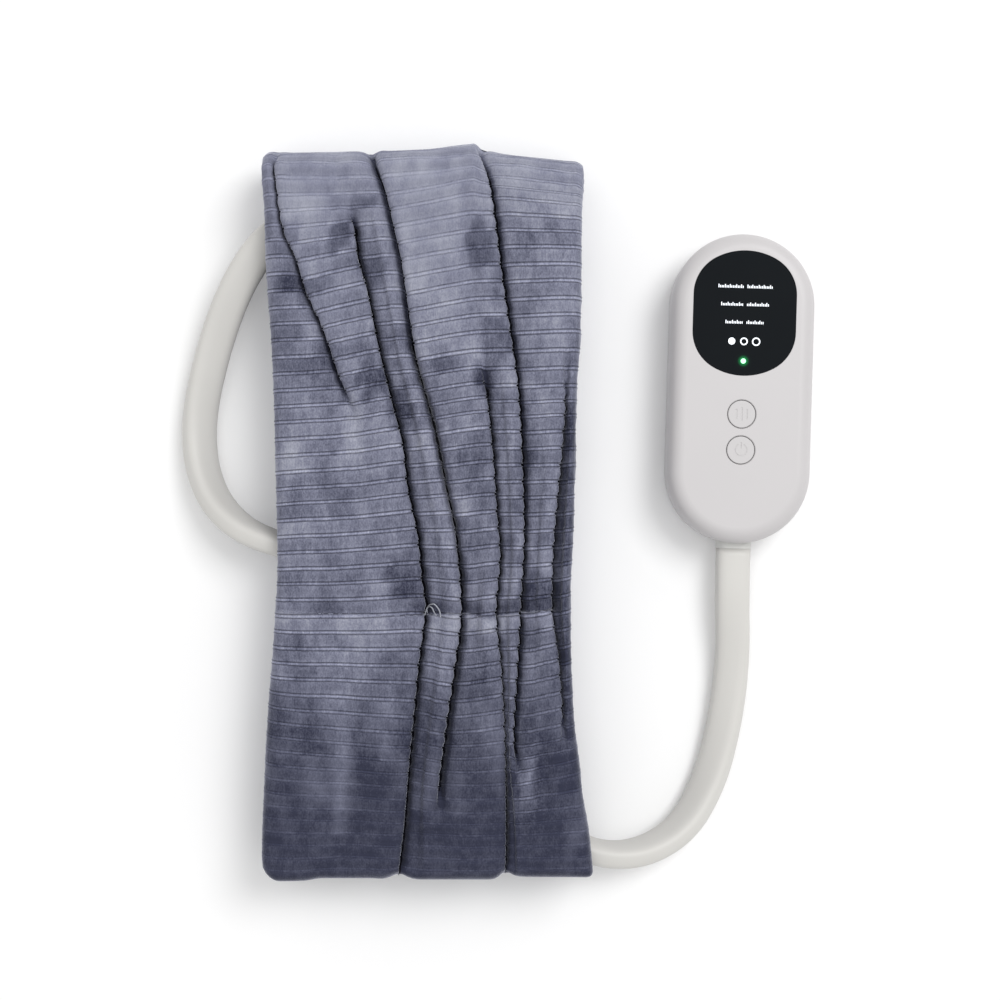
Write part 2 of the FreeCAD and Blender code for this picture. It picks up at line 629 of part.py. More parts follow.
def main():
    make_leaves()
    make_lower_leaf_parts()
    make_pleat_stitching()
    make_fold_band()
    make_hose()
    make_boot()
    make_shells()
    make_display()
    make_buttons()
    make_electronics()
    make_air_parts()
    make_fixings()
    make_collar()
    os.makedirs(OUT, exist_ok=True)
    for name, shape in made.items():
        if not shape.isValid() or any(s.Volume <= 0 for s in shape.Solids):
            print("PROBLEM", name, shape.isValid(), [round(s.Volume, 3) for s in shape.Solids])
        shape.exportStep(os.path.join(OUT, name + ".step"))
    print(len(made), "nodes")


main()
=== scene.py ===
"""Looks of the folded, pleated velvet massage blanket with its hose and hand controller.

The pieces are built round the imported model. Its nodes in the handset only get materials.
All numbers that place things are in millimetres in the row's frame; meshes are scaled to metres at the end.
"""

import json
import math

import bmesh
import bpy
import numpy as np
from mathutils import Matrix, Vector
from mathutils.bvhtree import BVHTree


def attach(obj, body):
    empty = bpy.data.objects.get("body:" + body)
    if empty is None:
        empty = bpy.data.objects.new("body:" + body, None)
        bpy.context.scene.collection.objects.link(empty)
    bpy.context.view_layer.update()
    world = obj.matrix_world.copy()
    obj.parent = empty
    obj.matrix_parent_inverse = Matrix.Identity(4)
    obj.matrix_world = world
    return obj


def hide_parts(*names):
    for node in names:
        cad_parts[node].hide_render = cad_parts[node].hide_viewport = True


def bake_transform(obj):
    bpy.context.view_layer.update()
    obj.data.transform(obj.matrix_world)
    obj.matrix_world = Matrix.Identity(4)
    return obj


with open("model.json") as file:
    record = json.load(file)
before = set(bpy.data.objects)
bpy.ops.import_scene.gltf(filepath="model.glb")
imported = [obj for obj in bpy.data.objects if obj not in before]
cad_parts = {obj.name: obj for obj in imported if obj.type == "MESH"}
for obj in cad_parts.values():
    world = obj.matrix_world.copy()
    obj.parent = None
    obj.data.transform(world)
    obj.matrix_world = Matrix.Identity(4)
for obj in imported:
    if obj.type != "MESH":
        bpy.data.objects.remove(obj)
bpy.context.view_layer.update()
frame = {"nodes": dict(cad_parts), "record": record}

MM = 0.001
CLEARANCE = 0.05        # how high the lowest points lie over the floor's height

# ---------------------------------------------------------------- sizes shared with the CAD model
STACK = 45.0            # height of the folded blanket
LEAF = 14.0             # thickness of a leaf
FOLD_Y = 168.5          # the fold's outermost line
FOLD_START = 147.0      # where a leaf starts to turn round the fold
END_Y = -166.4          # the free end
LED_AT = (145.37, 69.69)
# The hose's middle line, from its boot between the leaves to its collar at the handset.
HOSE_ROUTE = [
    (-26.0, 139.0, 22.5), (-50.0, 139.0, 22.5), (-72.0, 129.0, 22.5), (-88.0, 108.0, 19.0),
    (-101.0, 77.0, 11.0), (-109.5, 40.0, 7.0), (-104.0, 10.0, 11.5), (-86.0, -9.0, 21.5),
    (-60.0, -17.0, 22.5), (-32.0, -33.0, 22.5), (-6.0, -62.0, 22.5), (18.0, -95.0, 22.5),
    (40.0, -131.0, 22.5), (70.0, -156.5, 22.5), (96.0, -160.0, 19.5), (119.0, -149.5, 11.5),
    (132.5, -127.0, 7.2), (140.0, -98.0, 6.8), (143.6, -68.0, 7.5), (142.26, -38.66, 13.0),
    (142.91, -16.67, 13.0)]
HOSE_W, HOSE_H = 16.0, 10.5     # width and thickness of the flat hose


# ---------------------------------------------------------------- number helpers
def smooth(low, high, x):
    """0 below low, 1 above high, smooth between; low may be the larger one."""
    t = np.clip((np.asarray(x, float) - low) / (high - low), 0, 1)
    return t * t * (3 - 2 * t)


def table(points, x):
    """Smooth curve through (x, value) points in any order, without overshoot."""
    points = sorted(points)
    px, py = np.array([p[0] for p in points], float), np.array([p[1] for p in points], float)
    slope = np.diff(py) / np.diff(px)
    tangent = np.zeros(len(px))
    product = slope[1:] * slope[:-1]
    tangent[1:-1] = np.where(product > 0, 2 * product / np.where(product > 0, slope[1:] + slope[:-1], 1), 0)
    x = np.clip(np.asarray(x, float), px[0], px[-1])
    i = np.clip(np.searchsorted(px, x) - 1, 0, len(px) - 2)
    h = px[i + 1] - px[i]
    t = (x - px[i]) / h
    return ((2 * t**3 - 3 * t**2 + 1) * py[i] + (t**3 - 2 * t**2 + t) * h * tangent[i]
            + (3 * t**2 - 2 * t**3) * py[i + 1] + (t**3 - t**2) * h * tangent[i + 1])


def value_at(setting, x):
    """A setting that is one number, or a table of them."""
    return table(setting, x) if isinstance(setting, list) else np.full(np.shape(x), float(setting))


def noise(x, y, size_x, size_y, seed, octaves=2):
    """Smooth value noise about zero, its cells size_x by size_y."""
    total, strength = 0.0, 1.0
    for octave in range(octaves):
        grid = np.random.default_rng(seed + octave).uniform(-1, 1, (128, 128))
        u, v = np.asarray(x) / size_x * 2**octave + 40.3, np.asarray(y) / size_y * 2**octave + 40.7
        i, j = np.floor(u).astype(int), np.floor(v).astype(int)
        a, b = u - i, v - j
        a, b = a * a * (3 - 2 * a), b * b * (3 - 2 * b)
        at = lambda di, dj: grid[(i + di) % 128, (j + dj) % 128]
        total = total + strength * ((at(0, 0) * (1 - a) + at(1, 0) * a) * (1 - b)
                                    + (at(0, 1) * (1 - a) + at(1, 1) * a) * b)
        strength *= 0.5
    return total


def blob(x, y, cx, cy, rx, ry, power=2.0):
    """Soft spot of height 1."""
    return np.exp(-((np.abs(x - cx) / rx) ** power + (np.abs(y - cy) / ry) ** power))


# ---------------------------------------------------------------- mesh helpers
def grid_faces(rows, cols, start=0, flip=False):
    i, j = np.meshgrid(np.arange(rows - 1), np.arange(cols - 1), indexing="ij")
    a = start + i * cols + j
    quads = np.stack([a, a + 1, a + cols + 1, a + cols], -1).reshape(-1, 4)
    return quads[:, ::-1] if flip else quads


def mesh_piece(name, points, faces, materials, face_material=None, uv=None, attributes=None, turn_out=True):
    """A mesh object from points in millimetres."""
    mesh = bpy.data.meshes.new(name)
    mesh.from_pydata((np.asarray(points, float) * MM).tolist(), [], [list(map(int, f)) for f in faces])
    if turn_out:
        bm = bmesh.new()
        bm.from_mesh(mesh)
        bmesh.ops.recalc_face_normals(bm, faces=bm.faces)
        bm.to_mesh(mesh)
        bm.free()
    for material in materials if isinstance(materials, (list, tuple)) else [materials]:
        mesh.materials.append(material)
    if face_material is not None:
        mesh.polygons.foreach_set("material_index", np.asarray(face_material, np.int32))
    if uv is not None:
        layer = mesh.uv_layers.new(name="cloth")
        corner = np.zeros(len(mesh.loops), np.int32)
        mesh.loops.foreach_get("vertex_index", corner)
        layer.uv.foreach_set("vector", np.asarray(uv, np.float32)[corner].ravel())
    for key, values in (attributes or {}).items():
        mesh.attributes.new(key, "FLOAT", "POINT").data.foreach_set("value", np.asarray(values, np.float32))
    mesh.polygons.foreach_set("use_smooth", np.ones(len(mesh.polygons), bool))
    mesh.update()
    piece = bpy.data.objects.new(name, mesh)
    bpy.context.scene.collection.objects.link(piece)
    return piece


def grid_normals(points):
    along = np.gradient(points, axis=0)
    across = np.gradient(points, axis=1)
    normal = np.cross(across, along)
    return normal / np.maximum(np.linalg.norm(normal, axis=-1, keepdims=True), 1e-9)


def tube_faces(rings, sides, start=0, closed_ends=True):
    i, j = np.meshgrid(np.arange(rings - 1), np.arange(sides), indexing="ij")
    a, b = start + i * sides + j, start + i * sides + (j + 1) % sides
    faces = [list(f) for f in np.stack([a, a + sides, b + sides, b], -1).reshape(-1, 4)]
    if closed_ends:
        faces.append([start + k for k in range(sides)])
        faces.append([start + (rings - 1) * sides + k for k in range(sides)][::-1])
    return faces


def tube(points, radius, sides=8):
    """Points and faces of a round tube along a polyline, its ends rounded off."""
    points = np.asarray(points, float)
    tangent = np.gradient(points, axis=0)
    tangent /= np.linalg.norm(tangent, axis=1, keepdims=True)
    side = np.cross(tangent[0], [0, 0, 1.0] if abs(tangent[0][2]) < 0.9 else [1.0, 0, 0])
    rings = []
    for k, (p, t) in enumerate(zip(points, tangent)):
        side = side - t * side.dot(t)
        side /= np.linalg.norm(side)
        up = np.cross(t, side)
        angle = np.arange(sides) * 2 * math.pi / sides
        size = radius * (0.45 if k in (0, len(points) - 1) else 1.0)
        rings.append(p + size * (np.outer(np.cos(angle), side) + np.outer(np.sin(angle), up)))
    return np.concatenate(rings), tube_faces(len(points), sides)


# ---------------------------------------------------------------- materials
MATERIALS = {}                  # every material by its name


class Shader:
    """A node material built up one node at a time."""

    def __init__(self, name, **settings):
        self.material = MATERIALS[name] = bpy.data.materials.new(name)
        self.material.use_nodes = True
        self.tree = self.material.node_tree
        self.surface = self.tree.nodes["Principled BSDF"]
        for key, value in settings.items():
            self.surface.inputs[key.replace("_", " ")].default_value = value

    def node(self, kind, **settings):
        made = self.tree.nodes.new("ShaderNode" + kind)
        for key, value in settings.items():
            setattr(made, key, value)
        return made

    def put(self, socket, value):
        if isinstance(value, bpy.types.NodeSocket):
            self.tree.links.new(value, socket)
        elif value is not None:
            socket.default_value = value

    def math(self, operation, a, b=None, c=None, clamp=False):
        made = self.node("Math", operation=operation, use_clamp=clamp)
        for socket, value in zip(made.inputs, (a, b, c)):
            self.put(socket, value)
        return made.outputs[0]

    def mix(self, factor, a, b, blend_type="MIX"):
        made = self.node("Mix", data_type="RGBA", blend_type=blend_type)
        for key, value in ((0, factor), (6, a), (7, b)):
            is_colour = isinstance(value, tuple) and len(value) == 3
            self.put(made.inputs[key], value + (1.0,) if is_colour else value)
        return made.outputs[2]

    def position(self, scale=(1.0, 1.0, 1.0)):
        mapping = self.node("Mapping")
        self.put(mapping.inputs["Vector"], self.node("TexCoord").outputs["Object"])
        mapping.inputs["Scale"].default_value = scale
        return mapping.outputs[0]

    def noise(self, scale, detail=2.0, roughness=0.5, stretch=(1.0, 1.0, 1.0)):
        made = self.node("TexNoise")
        self.put(made.inputs["Vector"], self.position(stretch))
        made.inputs["Scale"].default_value = scale
        made.inputs["Detail"].default_value = detail
        made.inputs["Roughness"].default_value = roughness
        return made.outputs[0]

    def ramp(self, value, *stops):
        made = self.node("ValToRGB")
        self.put(made.inputs[0], value)
        elements = made.color_ramp.elements
        while len(elements) < len(stops):
            elements.new(0.5)
        for element, (at, colour) in zip(elements, stops):
            element.position = at
            element.color = (colour,) * 3 + (1,) if isinstance(colour, (int, float)) else colour + (1,)
        return made.outputs[0]

    def attribute(self, name):
        return self.node("Attribute", attribute_name=name).outputs["Fac"]

    def bump(self, height, strength, distance):
        made = self.node("Bump")
        made.inputs["Strength"].default_value = strength
        made.inputs["Distance"].default_value = distance
        self.put(made.inputs["Height"], height)
        self.put(self.surface.inputs["Normal"], made.outputs[0])

    def set(self, name, value):
        self.put(self.surface.inputs[name], value)


# Brightness across one rib and the band of pile beside it: (share of the pitch, brightness). The dips at the
# rib's two grooves are painted shade, the peak on the cord between them a painted highlight, and the lighter
# edges of the band painted sheen; the last table, for faint lines, keeps only that painted sheen.
CLEAR_RIB = [
    (0.0, 1.13), (0.07, 1.08), (0.27, 0.93), (0.46, 0.92), (0.60, 1.06), (0.65, 1.0), (0.695, 0.27),
    (0.74, 0.9), (0.785, 1.66), (0.835, 1.66), (0.88, 1.0), (0.925, 0.32), (0.965, 1.0), (1.0, 1.13)]
FAINT_RIB = [
    (0.0, 1.08), (0.27, 0.97), (0.60, 1.03), (0.65, 0.95), (0.695, 0.25), (0.74, 0.9), (0.785, 1.26),
    (0.835, 1.26), (0.88, 0.95), (0.925, 0.34), (0.965, 1.0), (1.0, 1.08)]
LINELESS_RIB = [(0.0, 1.12), (0.25, 0.95), (0.45, 0.87), (0.62, 0.95), (0.80, 1.12), (1.0, 1.12)]
BAND_START = 0.07               # share of a pitch by which a band of pile starts before its rib count


def velvet(name, sheen, *tones):
    """Cut-stripe velvet: brushed plush bands, and between them a fine cord with a dark line on each side;
    the dark lines are painted shade in the grooves, and the pale cord and band edges are painted highlight
    and sheen.
    """
    s = Shader(name, Roughness=0.9, Sheen_Weight=sheen, Sheen_Roughness=0.3, Sheen_Tint=(0.86, 0.88, 1.0, 1),
               Specular_IOR_Level=0.1)
    split = s.node("SeparateXYZ")
    s.put(split.inputs[0], s.node("UVMap", uv_map="cloth").outputs[0])
    across, ribs = split.outputs[0], split.outputs[1]
    rib = s.math("FRACT", ribs)
    band = s.math("FLOOR", s.math("ADD", ribs, BAND_START))

    def band_noise(wide, tall, detail):
        """Noise that starts afresh in every band, as brushed pile does."""
        joined = s.node("CombineXYZ")
        s.put(joined.inputs[0], s.math("MULTIPLY", across, wide))
        s.put(joined.inputs[1], s.math("MULTIPLY", band, 3.17))
        s.put(joined.inputs[2], s.math("MULTIPLY", rib, tall))
        made = s.node("TexNoise")
        s.put(made.inputs["Vector"], joined.outputs[0])
        made.inputs["Scale"].default_value = 1.0
        made.inputs["Detail"].default_value = detail
        made.inputs["Roughness"].default_value = 0.6
        return made.outputs[0]

    fibre = s.noise(1500, 2.0, 0.6, (1.0, 0.7, 1.0))
    unevenness = 0.0
    for source, amount in ((band_noise(0.9, 0.5, 3.0), 0.60), (band_noise(5.0, 1.0, 2.0), 0.26),
                           (band_noise(22.0, 2.0, 1.0), 0.24), (fibre, 0.50), (s.noise(60, 2.0), 0.2)):
        unevenness = s.math("MULTIPLY_ADD", s.math("SUBTRACT", source, 0.5), amount, unevenness)
    strength = s.math("MULTIPLY_ADD", s.attribute("crisp"), 0.75, 0.35)
    nap_and_shading = s.math("MULTIPLY_ADD", unevenness, strength, s.attribute("nap_and_shading"))
    colour = s.ramp(nap_and_shading, *zip((0.08, 0.36, 0.56, 0.95), tones))
    line, faint, lineless = (s.ramp(rib, *ramp) for ramp in (CLEAR_RIB, FAINT_RIB, LINELESS_RIB))
    # the painted highlight on the cord is strong only where the pile is dark
    line = s.mix(s.math("MULTIPLY_ADD", s.attribute("nap_and_shading"), 5.0, -2.45, clamp=True), line, faint)
    broken = s.math("ADD", s.math("MULTIPLY", band_noise(3.0, 0.0, 2.0), 1.2), -0.5)
    crisp = s.math("ADD", s.attribute("crisp"), broken, clamp=True)
    s.set("Base Color", s.mix(1.0, colour, s.mix(crisp, lineless, line), "MULTIPLY"))
    s.bump(fibre, 0.4, 0.0006)


def woven(name, colour, second, scale=900.0, roughness=0.85, bump=0.3):
    """Plain woven cloth or tape."""
    s = Shader(name, Roughness=roughness, Sheen_Weight=0.25, Specular_IOR_Level=0.2)
    waves = []
    for direction in ("X", "Y"):
        wave = s.node("TexWave", bands_direction=direction)
        s.put(wave.inputs["Vector"], s.position())
        wave.inputs["Scale"].default_value = scale
        wave.inputs["Distortion"].default_value = 1.5
        waves.append(wave.outputs["Fac"])
    weave = s.math("MULTIPLY", *waves)
    mottle = s.math("MULTIPLY", s.noise(120, 3), 0.6)
    tone = s.math("ADD", s.math("MULTIPLY", weave, 0.5), mottle, clamp=True)
    s.set("Base Color", s.mix(tone, colour, second))
    s.bump(weave, bump, 0.0003)


def moulded(name, colour, second, roughness=0.38, grain=700.0, bump=0.04, coat=0.0, specular=0.5):
    """Moulded plastic or rubber with a slight mottle and a fine skin texture."""
    s = Shader(name, Roughness=roughness, Coat_Weight=coat, Specular_IOR_Level=specular)
    s.set("Base Color", s.mix(s.noise(38, 3, 0.55), colour, second))
    skin = s.noise(grain, 2, 0.5)
    s.set("Roughness", s.math("ADD", roughness - 0.05, s.math("MULTIPLY", s.noise(90, 3, 0.6), 0.1)))
    s.bump(skin, bump, 0.0002)


def metal(name, colour, roughness=0.3):
    s = Shader(name, Metallic=1.0, Roughness=roughness)
    brushed = s.noise(220, 3, 0.6, (6.0, 1.0, 1.0))
    s.set("Base Color", s.mix(brushed, colour, tuple(c * 0.78 for c in colour)))
    s.set("Roughness", s.math("ADD", roughness - 0.06, s.math("MULTIPLY", s.noise(400, 2), 0.14)))


def glowing(name, colour, strength, base=(0.9, 0.92, 0.95)):
    s = Shader(name, Roughness=0.5, Emission_Strength=strength)
    s.set("Base Color", s.mix(s.noise(500, 2), base, tuple(c * 0.93 for c in base)))
    s.surface.inputs["Emission Color"].default_value = colour + (1,)


GLOW_RADIUS = 1.9


def display_window():
    """Smoked window; the status light spreads a little green glow in it."""
    s = Shader("display_window", Roughness=0.14, Specular_IOR_Level=0.035, Emission_Strength=0.55)
    s.set("Base Color", s.mix(s.noise(60, 3), (0.0085, 0.0105, 0.0125), (0.0070, 0.0085, 0.0105)))
    split = s.node("SeparateXYZ")
    s.put(split.inputs[0], s.position())
    square = []
    for k in (0, 1):
        away = s.math("DIVIDE", s.math("SUBTRACT", split.outputs[k], LED_AT[k] * MM), GLOW_RADIUS * MM)
        square.append(s.math("POWER", s.math("ABSOLUTE", away), 2.0))
    spread = s.math("EXPONENT", s.math("MULTIPLY", s.math("ADD", *square), -1.0))
    glow = s.ramp(spread, (0.0, 0.0), (0.12, (0.0, 0.012, 0.004)), (1.0, (0.02, 0.75, 0.18)))
    s.set("Emission Color", glow)


velvet("velvet", 0.75, (0.036, 0.039, 0.066), (0.130, 0.136, 0.190), (0.215, 0.223, 0.296),
       (0.410, 0.422, 0.495))
# a dark, almost sheen-free copy of the velvet for the faces deep in the creases: painted crease shade
velvet("crease_shade_velvet", 0.08, (0.006, 0.006, 0.010), (0.009, 0.010, 0.016), (0.013, 0.014, 0.022),
       (0.03, 0.03, 0.04))
woven("lining_cloth", (0.115, 0.125, 0.190), (0.150, 0.160, 0.235))
woven("binding_tape", (0.120, 0.130, 0.200), (0.175, 0.185, 0.270), 1500)
woven("sewing_thread", (0.20, 0.21, 0.30), (0.33, 0.35, 0.45), 3000, bump=0.5)
woven("loose_thread", (0.42, 0.44, 0.52), (0.62, 0.64, 0.70), 3000, bump=0.5)
woven("hook_and_loop", (0.030, 0.032, 0.045), (0.060, 0.062, 0.080), 1800, 0.95, 0.8)
moulded("hose_skin", (0.655, 0.643, 0.615), (0.620, 0.608, 0.579), 0.48, 500, 0.05)
moulded("boot_rubber", (0.690, 0.690, 0.665), (0.640, 0.640, 0.615), 0.55)
moulded("handset_plastic", (0.585, 0.566, 0.571), (0.568, 0.551, 0.555), 0.42, 1100, 0.03)
moulded("button_plastic", (0.577, 0.560, 0.564), (0.560, 0.545, 0.549), 0.40, 1100, 0.03)
display_window()
glowing("display_print", (0.85, 0.92, 1.0), 0.75)
glowing("status_led", (0.28, 1.0, 0.45), 1.3, (0.5, 0.9, 0.6))
moulded("dark_rubber", (0.06, 0.06, 0.062), (0.045, 0.045, 0.047), 0.7)
moulded("foot_rubber", (0.30, 0.30, 0.30), (0.26, 0.26, 0.26), 0.7)
moulded("circuit_board", (0.010, 0.085, 0.035), (0.020, 0.120, 0.050), 0.35, 300, 0.1)
moulded("chip_plastic", (0.020, 0.020, 0.022), (0.030, 0.030, 0.032), 0.5)
metal("reflector_film", (0.80, 0.81, 0.82), 0.22)
metal("steel", (0.62, 0.62, 0.63), 0.3)
metal("battery_wrap", (0.45, 0.48, 0.52), 0.35)
metal("pump_metal", (0.70, 0.71, 0.72), 0.3)
woven("wadding", (0.80, 0.80, 0.78), (0.90, 0.90, 0.88), 700)
woven("heater_cloth", (0.020, 0.020, 0.022), (0.035, 0.035, 0.040), 1100)
woven("fleece", (0.72, 0.70, 0.66), (0.82, 0.80, 0.77), 500)
moulded("bladder_film", (0.42, 0.46, 0.50), (0.36, 0.40, 0.45), 0.25)
moulded("heating_wire", (0.42, 0.05, 0.03), (0.36, 0.04, 0.03), 0.45)
moulded("lead_insulation", (0.02, 0.02, 0.022), (0.03, 0.03, 0.03), 0.45)
moulded("sensor_body", (0.62, 0.58, 0.48), (0.55, 0.52, 0.44), 0.45)
moulded("clear_tube", (0.60, 0.63, 0.65), (0.52, 0.56, 0.58), 0.25)
moulded("valve_plastic", (0.020, 0.022, 0.026), (0.030, 0.032, 0.036), 0.5)

# Slots of the record that share another slot's material.
SHARED = {
    "display_panel": "chip_plastic", "light_pipe": "status_led", "keypad_rubber": "dark_rubber",
    "damper_rubber": "dark_rubber", "socket_steel": "steel", "screw_steel": "steel", "foam": "heater_cloth",
    "thread": "sewing_thread",
}


def paint_nodes():
    """Gives every CAD node the material of its slot."""
    for entry in frame["record"]["subparts"]:
        node = frame["nodes"][entry["node"]]
        slot = entry["material_slot"]
        node.data.materials.clear()
        node.data.materials.append(MATERIALS[SHARED.get(slot, slot)])


# ---------------------------------------------------------------- stage, light and camera
CAMERA_AT = (33.7, 5.9, 850.0)
FOCAL_SHARE = 1.787             # focal length over image width
SENSOR = 36.0
FLOOR_HALF, FLOOR_Z = 2500.0, -0.05     # the floor's half width, and its height
STUDIO_LIGHTS = [               # name, place in metres, size in metres, power in watts
    ("key_light", (0.95, 0.80, 1.9), 1.0, 21.0),
    ("fill_light", (-1.3, -0.4, 1.6), 1.6, 1.5),
    ("top_light", (0.05, 0.0, 2.2), 1.6, 8.0),
]


def stage():
    floor = Shader("pale_floor", Roughness=0.9, Specular_IOR_Level=0.1)
    floor.set("Base Color", floor.mix(floor.noise(3.0, 2), (0.975, 0.975, 0.975), (0.985, 0.985, 0.985)))
    corners = [(x * FLOOR_HALF, y * FLOOR_HALF, FLOOR_Z) for x, y in ((-1, -1), (1, -1), (1, 1), (-1, 1))]
    mesh_piece("floor", corners, [(0, 1, 2, 3)], floor.material)

    world = bpy.data.worlds.new("studio")
    world.use_nodes = True
    world.node_tree.nodes["Background"].inputs["Color"].default_value = (1.0, 1.0, 1.0, 1)
    world.node_tree.nodes["Background"].inputs["Strength"].default_value = 0.62
    bpy.context.scene.world = world
    bpy.context.scene.view_settings.view_transform = "Standard"

    for name, at, size, power in STUDIO_LIGHTS:
        data = bpy.data.lights.new(name, "AREA")
        data.size, data.energy = size, power
        light = bpy.data.objects.new(name, data)
        light.location = at
        aim = Vector((0.03, 0.0, 0.0)) - Vector(at)
        light.rotation_euler = aim.to_track_quat("-Z", "Y").to_euler()
        bpy.context.scene.collection.objects.link(light)

    data = bpy.data.cameras.new("camera")
    data.sensor_width = SENSOR
    data.lens = SENSOR * FOCAL_SHARE
    data.clip_start = 0.01
    camera = bpy.data.objects.new("camera", data)
    camera.location = [c * MM for c in CAMERA_AT]
    bpy.context.scene.collection.objects.link(camera)
    bpy.context.scene.camera = camera


# ---------------------------------------------------------------- the hose
# How far the flat hose is turned on edge, in degrees, at places along it.
HOSE_TWIST = [
    (-26, 139, 0), (-76, 124, 12), (-98, 82, 18), (-106, 35, 35), (-96, 0, 58), (-73, -12, 75),
    (0, -72, 84), (78, -157, 80), (107, -154, 64), (125, -137, 45), (137, -108, 25), (142, -68, 10),
    (142.9, -17, 0)]


def make_hose():
    data = bpy.data.curves.new("hose_line", "CURVE")
    data.dimensions = "3D"
    data.resolution_u = 12
    spline = data.splines.new("NURBS")
    spline.points.add(len(HOSE_ROUTE) - 1)
    for point, at in zip(spline.points, HOSE_ROUTE):
        point.co = [c * MM for c in at] + [1.0]
    spline.order_u = 3
    spline.use_endpoint_u = True
    line = bpy.data.objects.new("hose_line", data)
    bpy.context.scene.collection.objects.link(line)
    sampled = bpy.data.meshes.new_from_object(line)
    path = np.array([v.co for v in sampled.vertices]) / MM
    bpy.data.objects.remove(line)
    length = np.concatenate([[0], np.cumsum(np.linalg.norm(np.diff(path, axis=0), axis=1))])

    keys = []
    for x, y, turn in HOSE_TWIST:
        nearest = np.argmin(np.hypot(path[:, 0] - x, path[:, 1] - y))
        keys.append((length[nearest], turn))
    twist = np.radians(table(keys, length))

    sides = 32
    angle = np.arange(sides) * 2 * math.pi / sides
    power = 2 / 3.2
    wide = HOSE_W / 2 * np.sign(np.cos(angle)) * np.abs(np.cos(angle)) ** power
    thick = HOSE_H / 2 * np.sign(np.sin(angle)) * np.abs(np.sin(angle)) ** power
    tangent = np.gradient(path, axis=0)
    tangent /= np.linalg.norm(tangent, axis=1, keepdims=True)
    across = np.cross(tangent, [0, 0, 1.0])
    across /= np.linalg.norm(across, axis=1, keepdims=True)
    up = np.cross(across, tangent)
    c, s = np.cos(twist)[:, None], np.sin(twist)[:, None]
    wide_way, thick_way = across * c + up * s, up * c - across * s
    points = (path[:, None] + wide_way[:, None] * wide[None, :, None]
              + thick_way[:, None] * thick[None, :, None])
    points[..., 2] = np.maximum(points[..., 2], CLEARANCE)
    points = points.reshape(-1, 3)
    hose = mesh_piece("flat_hose", points, tube_faces(len(path), sides), MATERIALS["hose_skin"])
    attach(hose, "lower_leaf")
    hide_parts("hose")
    return path


# ---------------------------------------------------------------- the quilt's plan and folds
# Tables give a position at places along the leaf's length, which is Y in the row's frame. Round the fold
# it runs on, as if the cloth were laid flat.
SIDE_LEFT = [
    (190, -74.5), (162, -74.4), (136, -73.6), (118, -73.2), (104, -72.4), (83, -70.8), (56, -69.5),
    (24, -68.6), (-21, -67.7), (-58, -69.5), (-88, -71.8), (-112, -73.1), (-137, -74.3), (-155, -74.8),
    (-169, -74.4)]
SIDE_RIGHT = [
    (190, 72.0), (157, 71.3), (78, 70.4), (51, 68.5), (14, 67.8), (-15, 67.0), (-40, 65.8), (-70, 66.3),
    (-94, 67.6), (-124, 70.6), (-146, 74.2), (-162, 76.0), (-169, 76.5)]
# Pleat edges, left to right. x is the edge's place, on its strength (0 is no pleat), over the side that lies
# on top (1 the left, -1 the right), deep its depth, and step the rise of the cloth beyond it.
PLEATS = [
    {"x": [(190, -69.4), (162, -69.0), (150, -67.4), (140, -66.2), (128, -63.6), (118, -58.8),
          (101, -53.2), (88, -47.3), (61, -38.2), (42, -31.9), (20, -30.5), (-43, -33.0),
          (-169, -39.0)],
     "on": [(190, 0), (174, 0.1), (158, 0.9), (70, 1), (34, 0)], "over": -1, "deep": 0.85, "step": 2.6},
    {"x": [(190, -42), (160, -40.5), (140, -36.9), (131, -32.8), (114, -30.6), (99, -26.5),
          (77, -22.0), (63, -18.8), (45, -14.7), (26, -10.2), (10, -8.4), (-15, -3.4), (-33, -1.6),
          (-42, -0.2), (-70, -3.4), (-88, -5.2), (-106, -7.0), (-140, -9.7), (-169, -12.3)],
     "on": [(143, 0), (124, 1), (-169, 1)], "over": 1, "deep": 0.95, "step": -2.6},
    {"x": [(190, -24.5), (166.5, -23.1), (147, -17.9), (132, -14.7), (117, -11.3), (88, -7.0),
          (72, -4.3), (47.5, 1.6), (33.5, 4.7), (10, 9.0), (-13, 13.6), (-43, 16.1), (-69, 12.9),
          (-96, 8.8), (-128, 5.6), (-169, 6.0)],
     "on": [(190, 0.1), (178, 0.25), (162, 0.8), (90, 0.8), (60, 1), (-118, 1), (-138, 0)],
     "over": [(84, -1), (62, -0.3), (20, 0.1), (-10, 0.4), (-40, 1)],
     "deep": [(190, 1.0), (90, 1.1), (62, 2.1), (5, 2.2), (-25, 1.3), (-169, 1.2)],
     "step": -3.0},
    {"x": [(190, 16), (110, 20), (70, 25), (51, 27.6), (19, 30.8), (-3, 32.3), (-21, 33.7),
          (-46, 31.9), (-70, 34.2), (-88, 35.3), (-106, 36.0), (-142, 36.4), (-169, 36.0)],
     "on": [(76, 0), (46, 1), (-169, 1)], "over": 1, "deep": 0.85, "step": -2.0},
    {"x": [(190, 23), (167, 23.7), (157.5, 26.9), (133, 30.8), (104, 34.6), (77, 38.7), (56, 41.8),
          (24, 43.7), (-10, 44.6), (-47, 42.8), (-72, 41.4), (-98, 39.9), (-112, 40.2), (-135, 44),
          (-169, 46)],
     "on": [(190, 0.1), (178, 0.25), (162, 0.9), (-98, 1), (-126, 0)], "over": 1, "deep": 0.95,
     "step": -1.6},
    {"x": [(190, 66), (77, 65.0), (51, 63.6), (24, 61.6), (-3, 59.0), (-21, 57.7), (-43, 57.2),
          (-67, 60.2), (-94, 62.4), (-109, 64.0), (-169, 69)],
     "on": [(82, 0), (40, 1), (-84, 1), (-114, 0)], "over": 1, "deep": 0.7, "step": -5.0}]
